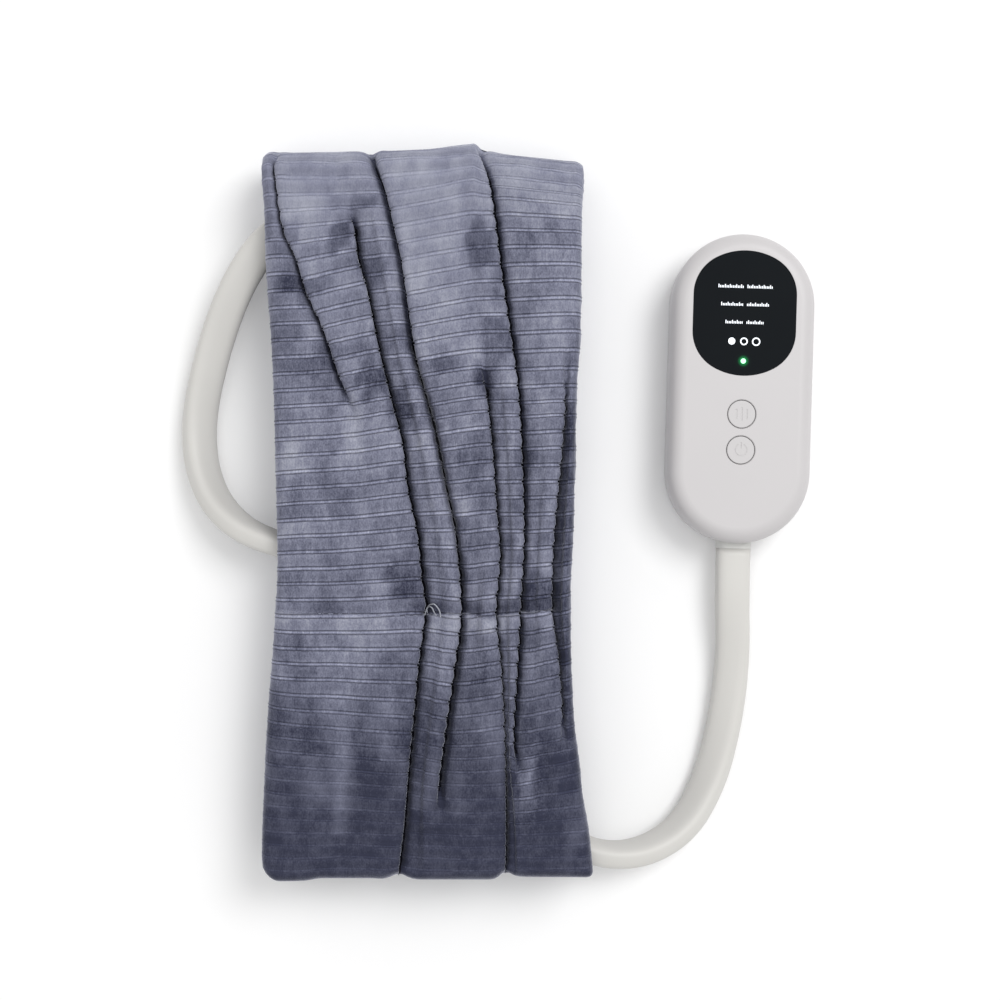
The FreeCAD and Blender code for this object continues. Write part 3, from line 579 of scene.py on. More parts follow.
# A pleat's section: across the cloth, and up from it. The left side lies over the right one.
PLEAT_SECTION = np.array([
    (-6.5, 0.0), (-4.6, 0.4), (-3.0, 0.7), (-1.8, 0.65), (-0.85, 0.15), (-0.25, -0.7), (0.0, -1.7),
    (-0.2, -2.8), (-0.7, -3.8), (-1.0, -4.7), (-0.7, -5.4), (0.0, -5.5), (0.8, -4.6), (1.6, -3.2),
    (2.7, -1.9), (4.2, -0.9), (6.2, -0.3), (8.5, 0.0)])
PANEL_COLUMNS = [9, 12, 8, 14, 6, 12, 5]    # mesh columns across the panels between the pleats
# Rise of the ribs across each panel, mm per mm.
RIB_SLOPE = [
    [(160, 0.0), (90, 0.01), (30, 0.05), (-43, 0.01), (-70, -0.03), (-100, -0.10), (-130, -0.06),
     (-166, -0.02)],
    [(160, 0.0), (134, 0.10), (100, 0.26), (50, 0.22), (10, 0.14), (-43, 0.02), (-100, -0.05),
     (-166, -0.02)],
    [(150, 0.0), (100, 0.10), (60, 0.08), (0, 0.02), (-60, -0.10), (-90, -0.20), (-120, -0.22),
     (-150, 0.0)],
    [(168, 0.05), (140, 0.17), (110, 0.20), (60, 0.14), (-10, 0.13), (-80, 0.14), (-120, 0.02),
     (-166, 0.0)],
    [(60, 0.05), (-10, 0.02), (-55, 0.12), (-80, 0.0), (-166, 0)],
    [(160, -0.02), (100, 0.0), (-20, 0.07), (-50, 0.17), (-60, 0.23), (-110, 0.22), (-138, 0.06),
     (-166, 0)],
    [(60, 0.0), (0, 0.16), (-60, 0.24), (-110, 0.12), (-150, 0.0)]]
# How far the fold's outer line and the free end stand out or draw in along the leaf, at places across it.
FOLD_EDGE = [
    (-76, -3.0), (-71, -2.4), (-60, -2.9), (-30, -2.4), (-24.5, -2.4), (-21.5, -2.3), (0, -1.4),
    (21.5, 1.2), (25.5, -0.7), (36, -3.6), (50, -5.2), (62, -6.4), (68, -6.8), (73, -7.8)]
END_EDGE = [
    (-75, -0.4), (-66, -1.3), (-56, -1.1), (-47, 0.1), (-25, 0.1), (-19, -0.3), (0, -0.5), (30, -0.5),
    (40, 1.0), (46, 0.7), (73, 0.5), (77, 0.0)]
# The seam that gathers the pleats: x, y.
SEAM_LINE = [
    (-75, -44.2), (-40, -45.4), (-8, -46.3), (12, -45.8), (19, -45.6), (24, -47.0), (32, -47.3),
    (36, -46.2), (45, -44.9), (52, -44.2), (75, -44.5)]
THINNEST = 2.4                  # the leaf's least thickness, in the creases
PANEL_RISE = 0.8                # share of a pleat's step that the next panel gains back across its width
SCALLOP = 0.75                  # how far a pleat's rolled edge bulges out between two rib lines
CREASE_SHADE_LIMIT = -4.3             # faces that lie lower than this in a pleat's section are deep in the crease and get the painted crease shade
SIDE_ROOM, PANEL_ROOM = 4.6, 2.6    # least width of the outer panels and of the others
LOWER_INSET = 0.9               # the lower leaf is this much narrower on each side
END_PITCH = 5.4                 # of the ribs, over the rounded free end
TURN_LENGTH = 34.0              # rough length of cloth from the fold's middle to the leaf's flat part

# How clear the lines beside the ribs are, down the leaf; and the places where they are clearer or fainter.
LINE_STRENGTH = [
    (190, 0.40), (160, 0.42), (140, 0.55), (110, 0.80), (60, 1.0), (-60, 0.95), (-90, 0.65),
    (-115, 0.30), (-135, 0.15), (-169, 0.10)]
LINE_MARKS = [
    (8, 140, 20, 42, -0.32), (-45, 150, 24, 22, -0.25), (54, 112, 18, 26, 0.30), (45, -121, 8, 18, 0.55)]
# Mesh rows of one rib: place as a share of the pitch, and height.
RIB_ROWS = [
    (0.0, 0.02), (0.08, 0.08), (0.36, 0.14), (0.58, 0.05), (0.645, -0.10), (0.70, -0.55), (0.755, -0.05),
    (0.81, 0.12), (0.865, -0.10), (0.925, -0.45), (0.965, -0.12)]
RIB_PITCH = [(190, 7.6), (60, 7.4), (-60, 7.2), (-110, 6.2), (-169, 5.4)]
STRIP_AT, STRIP_HALF = (-24.0, -149.0), (40.0, 12.0)    # where the lining is flat under the sewn-on strips
CORNERS = (7.5, 3.5)            # corner radii at the free end, left and right
SIDE_STEPS = [0.0, 0.12, 0.6, 1.6, 3.2, 5.6, 9.0]       # mesh columns on the rounded sides
SKIRT = [(0.2, -0.15), (0.47, -0.05), (0.73, 0.35), (1.0, 1.1)]     # way down to the hem, and inwards
LINING_COLUMNS, LINING_EVERY = 44, 6    # the lining's mesh columns, and which rows of the hem it takes
LINING_BULGE = 5.6              # of the loose lining, at most
PIPING_RADIUS, PIPING_STEP = 1.0, 1.6
STITCH_LENGTH, STITCH_GAP, STITCH_RADIUS = 2.6, 1.7, 0.26
SEAM_FROM, SEAM_TO = -65.0, 55.0        # where the stitches of the cross seam start and end
LOOSE_RADIUS = 0.3              # of the loose thread
NO_CLOTH = 40.0                 # height taken where the thread has no cloth under it


def leaf_path():
    """The outer face's line in the YZ plane from the fold's middle to the free end.

    Gives the length travelled at each point, the line, its outward direction, and the length round the fold.
    """
    power = 2 / 2.3
    angle = np.linspace(0, math.pi / 2, 400)
    y = FOLD_START + (FOLD_Y - FOLD_START) * np.cos(angle) ** power
    z = STACK / 2 + STACK / 2 * np.sin(angle) ** power
    straight = np.linspace(FOLD_START, END_Y, 1500)[1:]
    y, z = np.concatenate([y, straight]), np.concatenate([z, np.full(len(straight), STACK)])
    line = np.column_stack([y, z])
    travelled = np.concatenate([[0], np.cumsum(np.linalg.norm(np.diff(line, axis=0), axis=1))])
    quarter = travelled[len(angle) - 1]
    out = np.column_stack([-np.gradient(line[:, 1]), np.gradient(line[:, 0])]) * -1
    out /= np.linalg.norm(out, axis=1, keepdims=True)
    kernel = np.ones(41) / 41
    for k in range(2):
        padded = np.concatenate([np.full(20, out[0, k]), out[:, k], np.full(20, out[-1, k])])
        out[:, k] = np.convolve(padded, kernel, "valid")
    out[0] = (1, 0)
    out /= np.linalg.norm(out, axis=1, keepdims=True)
    return travelled, line, out, quarter


def rib_rows(length):
    """Places of the mesh's rows along the leaf, and their rib count and height."""
    rows = []
    at, count = 0.0, 0
    while at < length:
        pitch = float(table(RIB_PITCH, FOLD_START - (at - TURN_LENGTH)))
        pitch *= 1 + 0.05 * math.sin(count * 2.4) + 0.03 * math.sin(count * 5.1)
        rows += [(at + share * pitch, count + share, lift) for share, lift in RIB_ROWS]
        at += pitch
        count += 1
    rows = [r for r in rows if r[0] < length - SIDE_STEPS[-1] - 0.5]
    last_at, last_count, _ = rows[-1]
    for step in SIDE_STEPS[::-1]:
        place = length - step
        rows.append((place, last_count + (place - last_at) / END_PITCH, 0.0))
    rows = np.array(rows)
    positions, lifts = [r[0] for r in RIB_ROWS] + [1.0], [r[1] for r in RIB_ROWS] + [RIB_ROWS[0][1]]
    rows[:, 2] = np.interp(rows[:, 1] % 1, positions, lifts)
    return rows


def edge_share(flat_y):
    """Share of the leaf's thickness below its widest line; the fold's ends are nearly square."""
    return 0.3 + 0.58 * smooth(138, 166, flat_y)


def edge_lift(d, flat_y):
    """Share of the leaf's thickness at distance d from its border."""
    share = edge_share(flat_y)
    d = np.clip(d / (9.0 - 6.0 * smooth(138, 166, flat_y)), 0, 1)
    return share + (1 - share) * np.sqrt(1 - (1 - d) ** 2)


def nap_and_shading_of(x, y):
    """How light the pile is, 0 dark to 1 light: lighter towards the fold and darker towards the free end,
    with brushed patches, and the painted highlight and shade of the bulge near the free end.
    """
    value = table([(190, 0.54), (168, 0.64), (140, 0.61), (100, 0.54), (40, 0.48), (-40, 0.46), (-100, 0.26),
                   (-169, 0.02)], y) - 0.07 * blob(x, y, -52, 152, 20, 18, 4)
    value = value + 0.10 * noise(x, y, 17, 26, 11, 3) + 0.05 * noise(x, y, 7, 9, 21, 2)
    for cx, cy, rx, ry, amount in NAP_AND_SHADING_MARKS:
        wobble = 1 + 0.35 * noise(x, y, 5, 5, int(cx * 3 + cy * 7) % 97 + 31, 2)
        value = value + 1.1 * amount * blob(x, y, cx, cy, rx * wobble, ry * wobble, 4 if rx > 4 else 2)
    return value


# Patches of pile brushed the other way: x, y, the two radii and the amount. The light mark at (45, -121) and
# the dark one at (53.5, -119) are the painted highlight and shade of the bulge there.
NAP_AND_SHADING_MARKS = [
    (24, 117, 6.5, 11, -0.26), (32, 75, 7, 9, -0.30), (28, 60, 5, 7, -0.30), (8, 69, 7, 4, -0.22),
    (54, 125, 14, 8, -0.07), (60, 100, 12, 7, -0.05), (-27, 140, 6, 4, -0.24), (-25, 110, 6, 6, -0.18),
    (-11, 46, 6, 10, -0.30), (-38, 126, 5, 7, -0.30), (-61, 129, 5, 5, -0.24), (-50, 104, 7, 4, -0.18),
    (-23, 59, 6, 8, -0.28), (-60, 104, 6, 6, -0.22), (-33, 38, 5, 16, 0.20), (-66, 25, 8, 8, 0.14),
    (-33, -55, 6, 12, 0.14), (-38, -126, 4, 22, 0.14), (-55, -7, 14, 6, 0.14), (-9, -34, 10, 8, -0.16),
    (51, -38, 9, 9, -0.28), (0, 140, 16, 22, 0.10), (8, -60, 10, 9, 0.08), (45, -121, 4.5, 17, 0.16),
    (53.5, -119, 3, 15, -0.20), (-50, 140, 15, 9, 0.08), (20, 20, 9, 20, -0.12), (45, 30, 7, 26, -0.08),
    (-54, 62, 14, 22, 0.04), (52, 142, 16, 16, 0.06), (-40, -10, 24, 26, 0.03), (-28, 95, 8, 14, 0.04)]


def corner_cuts(from_end):
    """How far the rounded corners draw in the left and the right side."""
    cuts = []
    for radius in CORNERS:
        short = np.clip(radius - from_end, 0, radius)
        cuts.append(radius - np.sqrt(np.maximum(radius**2 - short**2, 0)))
    return cuts


def border_distance(x, y, sides, square_sides, from_end):
    """Distance of each point from the leaf's border, with its rounded corners."""
    d = np.minimum(x - sides[0][:, None], sides[1][:, None] - x)
    d = np.minimum(d, from_end[:, None])
    for radius, side_x, sign in zip(CORNERS, square_sides, (1, -1)):
        cx, cy = side_x[:, None] + sign * radius, END_Y + radius
        inside = (sign * (x - cx) < 0) & (y < cy)
        d = np.where(inside, np.minimum(d, radius - np.hypot(x - cx, y - cy)), d)
    return np.maximum(d, 0)


def panel_crowns(x, edges):
    """Height of the slight dome of each panel between two pleats."""
    crown = np.zeros_like(x)
    for k in range(len(PLEATS) + 1):
        low, high = edges[:, k : k + 1], edges[:, k + 1 : k + 2]
        t = np.clip((x - low) / (high - low), 0, 1)
        dome = (1 - (2 * t - 1) ** 2) * np.minimum(1.4, (high - low) * 0.07)
        crown += np.where((x > low) & (x <= high), dome, 0)
    return crown


def pleat_columns(on, over, width, next_width):
    """A pleat's columns row by row: how far across from its edge, and how far up."""
    mirrored = PLEAT_SECTION[::-1] * (-1, 1)
    share = ((1 + over) / 2)[:, None, None]
    section = share * PLEAT_SECTION + (1 - share) * mirrored
    room_left = np.minimum(1, 0.46 * width / -section[:, 0, 0])
    room_right = np.minimum(1, 0.46 * next_width / section[:, -1, 0])
    across = np.where(section[..., 0] < 0, section[..., 0] * room_left[:, None],
                      section[..., 0] * room_right[:, None])
    even = across[:, :1] + (across[:, -1:] - across[:, :1]) * np.linspace(0, 1, len(PLEAT_SECTION))
    return even + (across - even) * on[:, None], section[..., 1]


def leaf_grid(pleated, inset=0.0):
    """The leaf's outer face as rows and columns of points, with what goes with each."""
    travelled, line, out, quarter = leaf_path()
    rows = rib_rows(travelled[-1])
    s = rows[:, 0]
    py, pz = np.interp(s, travelled, line[:, 0]), np.interp(s, travelled, line[:, 1])
    ny, nz = np.interp(s, travelled, out[:, 0]), np.interp(s, travelled, out[:, 1])
    size = np.hypot(ny, nz)
    ny, nz = ny / size, nz / size
    flat_y = FOLD_START - (s - quarter)
    inset = inset * smooth(180, 165, flat_y)
    square_sides = table(SIDE_LEFT, flat_y) + inset, table(SIDE_RIGHT, flat_y) - inset
    from_end = np.maximum(flat_y - END_Y, 0)
    cuts = corner_cuts(from_end)
    left, right = square_sides[0] + cuts[0], square_sides[1] - cuts[1]

    none, count = np.zeros(len(s)), len(PLEATS)
    edges = [left] + [table(pleat["x"], flat_y) for pleat in PLEATS] + [right]
    strengths = [table(pleat["on"], flat_y) if pleated else none for pleat in PLEATS]
    overs = [value_at(pleat["over"], flat_y) for pleat in PLEATS]
    # keep the pleats in order and off the rounded sides, where a corner narrows the leaf
    for k in range(1, count + 1):
        lowest = edges[k - 1] + (SIDE_ROOM if k == 1 else PANEL_ROOM)
        edges[k] = np.minimum(np.maximum(edges[k], lowest), right - SIDE_ROOM - PANEL_ROOM * (count - k))

    grid = {key: [] for key in ("x", "lift", "level", "roll", "crease", "over")}

    def add(**given):
        for key, columns in grid.items():
            columns.append(given.get(key, none))

    base = np.full(len(s), -1.2 if pleated else 0.0)
    level = base
    side = np.array(SIDE_STEPS)
    for k in range(count + 1):
        low, high = edges[k], edges[k + 1]
        width = high - low
        # the rounded sides' columns are closer together where a pleat comes near
        room = np.minimum(1, 0.45 * width / side[-1])
        if k == 0:
            for step in side:
                add(x=low + step * room, level=level)
        start = grid["x"][-1]
        if k < count:
            on, over, deep = strengths[k], overs[k], value_at(PLEATS[k]["deep"], flat_y)
            next_width = edges[k + 2] - high
            across, up = pleat_columns(on, over, width, next_width)
            stop = high + across[:, 0]
        else:
            stop = high - side[-1] * room
        for t in np.linspace(0, 1, PANEL_COLUMNS[k] + 2)[1:-1]:
            add(x=start + (stop - start) * t, level=level + (base - level) * PANEL_RISE * t)
        level = level + (base - level) * PANEL_RISE
        if k == count:
            for step in side[::-1]:
                add(x=high - step * room, level=level)
            continue
        squeeze = np.minimum(1, np.minimum(width, next_width) / 9.0)
        turned = over if isinstance(PLEATS[k]["over"], list) else 1
        new_level = level + PLEATS[k]["step"] * on * turned
        for i in range(len(PLEAT_SECTION)):
            t = float(smooth(4, 13, i))
            add(x=high + across[:, i], over=over, level=level * (1 - t) + new_level * t,
                lift=up[:, i] * on * deep * (0.55 + 0.45 * squeeze),
                roll=on * np.exp(-((across[:, i] + 0.9 * over) / 1.7) ** 2),
                crease=up[:, i] * on * (1.5 - 0.5 * np.abs(over)))
        level = new_level
    grid = {key: np.stack(columns, 1) for key, columns in grid.items()}

    # the rolled edges are scalloped: each band of pile bulges out a little between the rib lines
    scallop = -SCALLOP * np.cos(2 * math.pi * (rows[:, 1] - 0.81)) * smooth(165, 135, flat_y)
    scallop = scallop * (0.4 + 0.6 * smooth(-135, -95, flat_y))
    x = grid["x"] + scallop[:, None] * grid["roll"] * grid["over"]
    y = np.repeat(flat_y[:, None], x.shape[1], 1)
    edges = np.stack(edges, 1)
    d = border_distance(x, y, (left, right), square_sides, from_end)
    inward = smooth(0.5, 8.0, d)
    height = LEAF * edge_lift(d, y)
    if pleated:
        folded = grid["lift"] + grid["level"] * smooth(0, 5, d) * smooth(174, 146, y)
        height = height + folded * np.maximum(inward, 0.25 * smooth(0, 2, d))
        height = height + panel_crowns(x, edges) * inward * smooth(180, 160, y)
    grid.update(x=x, y=y, py=py, pz=pz, ny=ny, nz=nz, height=height, inward=inward, d=d, rows=rows,
                edges=edges, flat_y=flat_y, on=np.stack(strengths, 1))
    return grid


def line_strength(x, y):
    value = table(LINE_STRENGTH, y + 14 * noise(x, y, 22, 30, 71, 2))
    for cx, cy, rx, ry, amount in LINE_MARKS:
        value = value + amount * blob(x, y, cx, cy, rx, ry, 4)
    return np.clip(value, 0.05, 1)


def rib_tilt(g):
    """How far the ribs move along the leaf at each point, because they run aslant in the pleats."""
    x, edges = g["x"], g["edges"]
    shift, carried = np.zeros_like(x), np.zeros(len(x))
    before = None
    for k, slopes in enumerate(RIB_SLOPE):
        slope = table(slopes, g["flat_y"])
        half = (edges[:, k + 1] - edges[:, k]) / 2
        if k:
            # where there is no pleat between two panels, the ribs run on unbroken
            carried = carried + (1 - g["on"][:, k - 1]) * (before + slope * half)
        before = slope * half
        middle = edges[:, k] + half
        inside = x > edges[:, k : k + 1] if k else np.ones(x.shape, bool)
        shift = np.where(inside, slope[:, None] * (x - middle[:, None]) + carried[:, None], shift)
    # ease the jump from panel to panel over the hidden columns of each pleat
    kernel = np.array([1, 2, 3, 4, 3, 2, 1], float)
    kernel /= kernel.sum()
    wide = np.pad(shift, ((0, 0), (3, 3)), mode="edge")
    shift = sum(kernel[i] * wide[:, i : i + x.shape[1]] for i in range(7))
    return shift * smooth(END_Y, END_Y + 30, g["y"]) * smooth(168, 140, g["y"])


def seam_y(x):
    return table(SEAM_LINE, x)


def slack(x, y, seam_off):
    """Uneven height of loose cloth: waves, wrinkles, the crumple at the top left, puffs beside the seam."""
    height = 0.9 * noise(x, y, 30, 44, 3, 2) + 0.35 * noise(x, y, 9, 17, 5, 2)
    crumple = blob(x, y, -37, 134, 13, 17)
    height += crumple * (1.3 * noise(x + 0.5 * y, y, 8, 9, 8, 2) - 0.6) - 1.6 * blob(x, y, -33, 146, 7, 6)
    height += 3.0 * blob(x, y, 44.5, -121, 5.5, 17, 3) - 1.8 * blob(x, y, 53.5, -118, 3.5, 15)
    height += 1.3 * blob(x, y, 2, -138, 12, 3.5) - 1.2 * blob(x, y, -2, -145, 9, 2.5)
    height += 0.8 * blob(x, y, 6, -151, 12, 3)
    gathered = 0.45 + 0.55 * smooth(-8, 4, x)
    near = smooth(62, 56, x)
    # a step up to the puffed cloth below the seam, and a longer slope down to it from above
    height += near * gathered * (2.2 * smooth(0.3, -1.1, seam_off) * smooth(-14, -3, seam_off)
                                 - 2.6 * smooth(-0.3, 0.4, seam_off) * smooth(8, 0.5, seam_off))
    return height + near * gathered * 0.6 * np.exp(-((seam_off - 11) / 5.0) ** 2)


def outer_points(g, upper):
    """Points of the leaf's outer face, ribs included."""
    x, y, height, soft = g["x"], g["y"], g["height"], g["inward"]
    open_end = smooth(END_Y, END_Y + 14, y)
    if upper:
        shift = rib_tilt(g) + 0.55 * noise(x, y, 26, 60, 9, 2) * open_end * smooth(166, 140, y)
        # the hem is drawn in where these two pleats reach it
        for k, wide in ((2, 4.5), (4, 3.2)):
            near = np.exp(-((x - g["edges"][:, k : k + 1]) / wide) ** 2)
            shift = shift + 2.6 * near * smooth(END_Y + 9, END_Y, y)
        height = height + soft * slack(x, y, y + shift - seam_y(x)) * smooth(180, 160, y)
    else:
        shift = 0.25 * np.sin(x / 21.0) * open_end
        height = height + soft * 0.25 * noise(x, y, 25, 30, 15, 2) * smooth(180, 160, y)
    g["placed_y"] = y + shift
    back = table(FOLD_EDGE, x) * smooth(118, 158, y) + table(END_EDGE, x) * smooth(END_Y + 16, END_Y, y)
    out = np.maximum(height, THINNEST) - LEAF
    py, pz = g["py"][:, None] + shift + back, g["pz"][:, None]
    points = np.stack([x, py + g["ny"][:, None] * out, pz + g["nz"][:, None] * out], -1)
    normal = grid_normals(points)
    # the ribs stand out more on the rolled edges of the pleats, and less round the leaf's sides
    relief = (0.45 + 0.55 * smooth(0, 5, g["d"])) * (1 + 0.5 * g["roll"] * smooth(165, 130, y))
    relief = relief * (0.4 + 0.6 * line_strength(x, y))
    return points + normal * (g["rows"][:, 2][:, None] * relief)[..., None]


def pile_nap_and_shading(g, upper):
    """Which way the pile is brushed at each point, band by band, with painted light and shade: highlight and
    shade beside the seam, shade on the strips that lie under their neighbours, and shade deep in the pleats'
    creases.
    """
    ribs = g["rows"][:, 1]
    band_y = np.interp(np.floor(ribs + BAND_START) + 0.35, ribs, g["flat_y"])
    nap_and_shading = nap_and_shading_of(g["x"], (0.45 * band_y + 0.55 * g["flat_y"])[:, None] + 0 * g["x"])
    if upper:
        # the strips right of the last pleat and left of the first one lie under their neighbours and are
        # darkened: painted shade
        tucked_strip_shade = smooth(-0.8, 1.2, g["x"] - g["edges"][:, 6:7]) * g["on"][:, 5:6]
        nap_and_shading = nap_and_shading - 0.24 * tucked_strip_shade - 0.10 * (g["x"] < g["edges"][:, 1:2]) * g["on"][:, :1]
        # painted highlight on the puffed cloth just below the seam, and painted shade in the valley just
        # above it
        off = g["placed_y"] - seam_y(g["x"])
        gathered = (0.35 + 0.65 * smooth(-8, 4, g["x"])) * smooth(60, 56, g["x"])
        nap_and_shading = nap_and_shading + gathered * (0.20 * smooth(0.2, -1.0, off) * smooth(-10, -5, off)
                                - 0.20 * smooth(-0.4, 0.6, off) * smooth(8, 3.5, off))
    # the pile deep in the pleats' creases is darkened: painted crease shade
    return np.clip(nap_and_shading, 0.11, 1) - 0.42 * smooth(-1.3, -3.6, g["lift"])


def skirt_levels(g, edge, rows_of, cols_of):
    """The cloth from the leaf's border down to the hem, level by level."""
    n_rows = len(g["py"])
    side_in = np.zeros_like(edge)
    side_in[:n_rows, 0], side_in[-n_rows:, 0] = 1, -1
    near_end = g["y"][rows_of, cols_of] < END_Y + max(CORNERS)
    along = np.gradient(edge[:, :2], axis=0)
    turn = np.column_stack([-along[:, 1], along[:, 0]])
    turn /= np.maximum(np.linalg.norm(turn, axis=1, keepdims=True), 1e-9)
    side_in[near_end, :2] = turn[near_end]
    down = np.column_stack([np.zeros(len(edge)), -g["ny"][rows_of], -g["nz"][rows_of]]) * LEAF
    down *= edge_share(g["flat_y"][rows_of])[:, None]
    levels = []
    for t, inset in SKIRT:
        wave = 0.35 * noise(edge[:, 1] + edge[:, 0], np.full(len(edge), t * 12), 9, 6, 44, 2)[:, None]
        levels.append(edge + down * t + side_in * (inset + wave * (0.8 if t < 1 else 0)))
    return levels


def lining_grid(hem, n_rows, n_cols, hose_plan):
    """The lining, a skin inside the hem that bulges towards the other leaf where the hose is far."""
    across = np.linspace(0, 1, LINING_COLUMNS)
    hem_left, hem_right = hem[:n_rows], hem[-n_rows:][::-1]
    picked = range(0, n_rows - 1, LINING_EVERY)
    rows = [hem_left[i] + (hem_right[i] - hem_left[i]) * across[:, None] for i in picked]
    end = hem[n_rows - 1 : n_rows - 1 + n_cols]
    rows.append(np.column_stack([np.interp(across, np.linspace(0, 1, n_cols), end[:, k]) for k in range(3)]))
    lining = np.stack(rows)
    x, y = lining[..., 0], lining[..., 1]
    room = np.hypot(*(lining[..., None, :2] - hose_plan).transpose(3, 0, 1, 2)).min(-1)
    inset = np.minimum(np.minimum(across, 1 - across) * 140, 12)[None] / 12
    ends = smooth(END_Y, END_Y + 14, y) * smooth(150, 132, y)
    bulge = LINING_BULGE * smooth(12, 30, room) * inset * ends + 0.4 * noise(x, y, 18, 18, 61, 2) * ends
    # flat where the hook-and-loop strips are sewn on
    aside = np.hypot(np.maximum(np.abs(x - STRIP_AT[0]) - STRIP_HALF[0], 0),
                     np.maximum(np.abs(y - STRIP_AT[1]) - STRIP_HALF[1], 0))
    lining[..., 2] -= bulge * smooth(0, 8, aside)
    return lining


def make_quilt(upper, hose_plan):
    """One leaf with its half of the fold: velvet outside, lining inside, sewn along a hem."""
    g = leaf_grid(upper, 0.0 if upper else LOWER_INSET)
    points = outer_points(g, upper)
    n_rows, n_cols = points.shape[:2]
    # the border goes down the left side, along the free end and up the right side
    border = [(i, 0) for i in range(n_rows)] + [(n_rows - 1, j) for j in range(1, n_cols)]
    border += [(i, n_cols - 1) for i in range(n_rows - 2, -1, -1)]
    rows_of, cols_of = np.array(border).T
    edge = points[rows_of, cols_of]
    skirt = skirt_levels(g, edge, rows_of, cols_of)
    hem = skirt[-1]
    lining = lining_grid(hem, n_rows, n_cols, hose_plan)
    lining_count = lining.shape[0] * lining.shape[1]

    # the border's point numbers on the leaf and on each level of the skirt
    total, around = n_rows * n_cols, np.arange(len(border))
    numbers = [rows_of * n_cols + cols_of] + [total + k * len(border) + around for k in range(len(SKIRT))]
    faces = [tuple(f) for f in grid_faces(n_rows, n_cols, 0, True)]
    for a, b in zip(numbers, numbers[1:]):
        faces += zip(a[:-1], b[:-1], b[1:], a[1:])
    velvet_faces = len(faces)
    faces += [tuple(f) for f in grid_faces(*lining.shape[:2], total + len(SKIRT) * len(border))]

    ribs = g["rows"][:, 1]
    border_uv = np.column_stack([edge[:, 0] / 10, ribs[rows_of]])
    uv = [np.column_stack([(g["x"] / 10).ravel(), np.repeat(ribs, n_cols)])]
    uv += [border_uv + (0.1 * t, 0) for t, _ in SKIRT] + [np.zeros((lining_count, 2))]
    nap_and_shading, crisp = pile_nap_and_shading(g, upper), line_strength(g["x"], g["y"])
    nap_and_shading = [nap_and_shading.ravel()] + [nap_and_shading[rows_of, cols_of] - 0.08] * len(SKIRT) + [np.full(lining_count, 0.5)]
    crisp = [crisp.ravel()] + [crisp[rows_of, cols_of]] * len(SKIRT) + [np.zeros(lining_count)]

    # velvet, lining, and on the faces deep in the creases a dark, sheen-free copy of the velvet: painted
    # crease shade
    slots = np.zeros(len(faces), int)
    slots[velvet_faces:] = 1
    c = g["crease"]
    deep = (c[:-1, :-1] + c[1:, :-1] + c[:-1, 1:] + c[1:, 1:]) / 4 < CREASE_SHADE_LIMIT
    slots[: deep.size][deep.ravel()] = 2

    all_points = np.concatenate([points.reshape(-1, 3), *skirt, lining.reshape(-1, 3)])
    if not upper:
        all_points[:, 2] = np.maximum(STACK - all_points[:, 2], CLEARANCE)
        hem = hem * (1, 1, -1) + (0, 0, STACK)
        faces = [f[::-1] for f in faces]
    cloths = [MATERIALS[name] for name in ("velvet", "lining_cloth", "crease_shade_velvet")]
    quilt = mesh_piece("upper_quilt" if upper else "lower_quilt", all_points, faces, cloths, slots,
                       np.concatenate(uv), {"nap_and_shading": np.concatenate(nap_and_shading), "crisp": np.concatenate(crisp)},
                       turn_out=False)
    return quilt, hem


# Routes of the loose end's two loops.
LOOSE_THREAD = [[(-0.6, -46.8), (0.2, -44.0), (1.6, -41.8), (3.6, -41.2), (5.4, -42.8), (6.4, -44.6),
                 (7.0, -47.0)],
                [(0.6, -45.6), (0.4, -43.8), (1.8, -42.5), (3.0, -43.2), (3.8, -45.0), (4.9, -46.2)]]
# Nodes that the quilts stand for.
FOLD_NODES = ["fold_cover", "fold_lining", "fold_wadding", "fold_leads", "fold_air_tube"]
LEAF_LAYERS = ["cover", "lining", "heat_reflector", "wadding", "air_bladder", "heater_carrier",
               "heating_wire", "comfort_fleece"]


def fold_blend(piece, upper):
    """Bakes a piece's transform into its mesh, the same way for either leaf."""
    if upper:
        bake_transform(piece)
    else:
        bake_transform(piece)


def make_piping(name, hem, upper):
    """Narrow bound edge that closes the hem."""
    seen = [hem[0]]
    for p in hem[1:]:
        if np.linalg.norm(p - seen[-1]) > PIPING_STEP:
            seen.append(p)
    seen.append(hem[-1])
    points, faces = tube(np.array(seen), PIPING_RADIUS, 10)
    piece = mesh_piece(name, points, faces, MATERIALS["binding_tape"])
    fold_blend(piece, upper)
    return piece


def surface_finder(piece):
    bm = bmesh.new()
    bm.from_mesh(piece.data)
    tree = BVHTree.FromBMesh(bm)
    bm.free()

    def drop(x, y):
        hit = tree.ray_cast(Vector((x * MM, y * MM, 0.2)), Vector((0, 0, -1)))
        return hit[0].z / MM if hit[0] is not None else None
    return drop


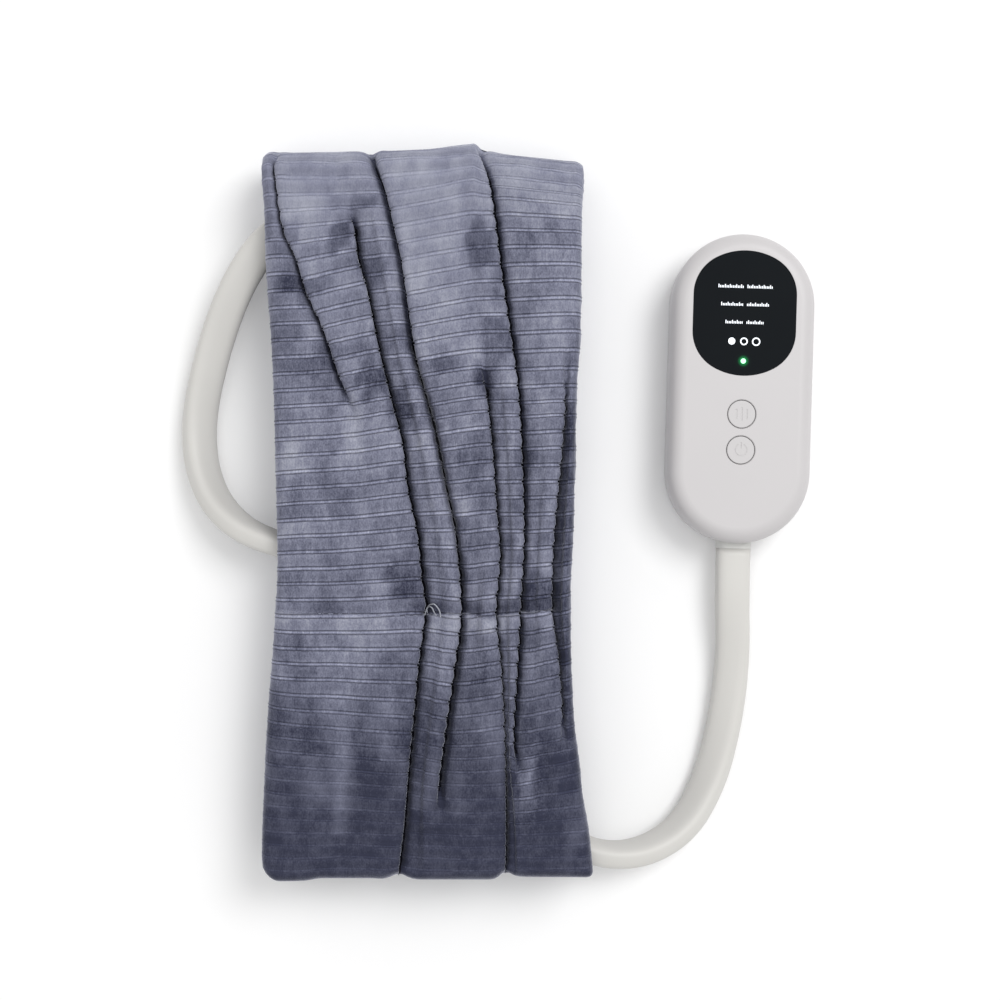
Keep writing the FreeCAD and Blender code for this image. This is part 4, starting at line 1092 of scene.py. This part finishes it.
def make_stitches(top):
    """The visible thread of the cross seam, lying in its valley."""
    points, faces = [], []
    rng = np.random.default_rng(5)
    x = SEAM_FROM
    while x < SEAM_TO:
        length = STITCH_LENGTH + rng.uniform(-0.4, 0.5)
        samples = np.linspace(x, x + length, 6)
        line = []
        for k, sx in enumerate(samples):
            sy = seam_y(sx) + rng.uniform(-0.1, 0.1)
            z = top(sx, sy)
            sunk = 0.5 if k in (0, 5) else 0
            line.append((sx, sy, (z if z is not None else NO_CLOTH) + 0.12 - sunk))
        p, f = tube(np.array(line), STITCH_RADIUS, 6)
        faces += [[i + len(points) for i in face] for face in f]
        points += list(p)
        x += length + STITCH_GAP + rng.uniform(-0.3, 0.4)
    piece = mesh_piece("seam_stitches", points, faces, MATERIALS["sewing_thread"])
    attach(piece, "upper_leaf")
    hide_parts("pleat_stitching")

    # a loose end of thread that stands up in two loops
    points, faces = [], []
    for route in LOOSE_THREAD:
        t = np.linspace(0, 1, 30)
        stops = np.linspace(0, 1, len(route))
        line = np.column_stack([table(list(zip(stops, [p[k] for p in route])), t) for k in (0, 1)] + [t * 0])
        ground = np.array([top(sx, sy) or NO_CLOTH for sx, sy, _ in line])
        ground = np.maximum(ground, np.convolve(np.pad(ground, 4, mode="edge"), np.ones(9) / 9, "valid"))
        line[:, 2] = ground + LOOSE_RADIUS + 0.9 * np.sin(math.pi * t)
        p, f = tube(line, LOOSE_RADIUS, 6)
        faces += [[i + len(points) for i in face] for face in f]
        points += list(p)
    loop = mesh_piece("loose_thread", points, faces, MATERIALS["loose_thread"])
    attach(loop, "upper_leaf")


# ---------------------------------------------------------------- the whole thing
stage()
paint_nodes()
hose_path = make_hose()

for upper in (True, False):
    half = "upper" if upper else "lower"
    quilt, hem = make_quilt(upper, hose_path[::3, :2])
    nodes = [half + "_" + layer for layer in LEAF_LAYERS]
    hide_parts(*nodes, *(FOLD_NODES if upper else []))
    if upper:
        find_top = surface_finder(quilt)
    fold_blend(quilt, upper)
    piping = make_piping(half + "_piping", hem, upper)
    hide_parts(half + "_edge_binding")
make_stitches(find_top)
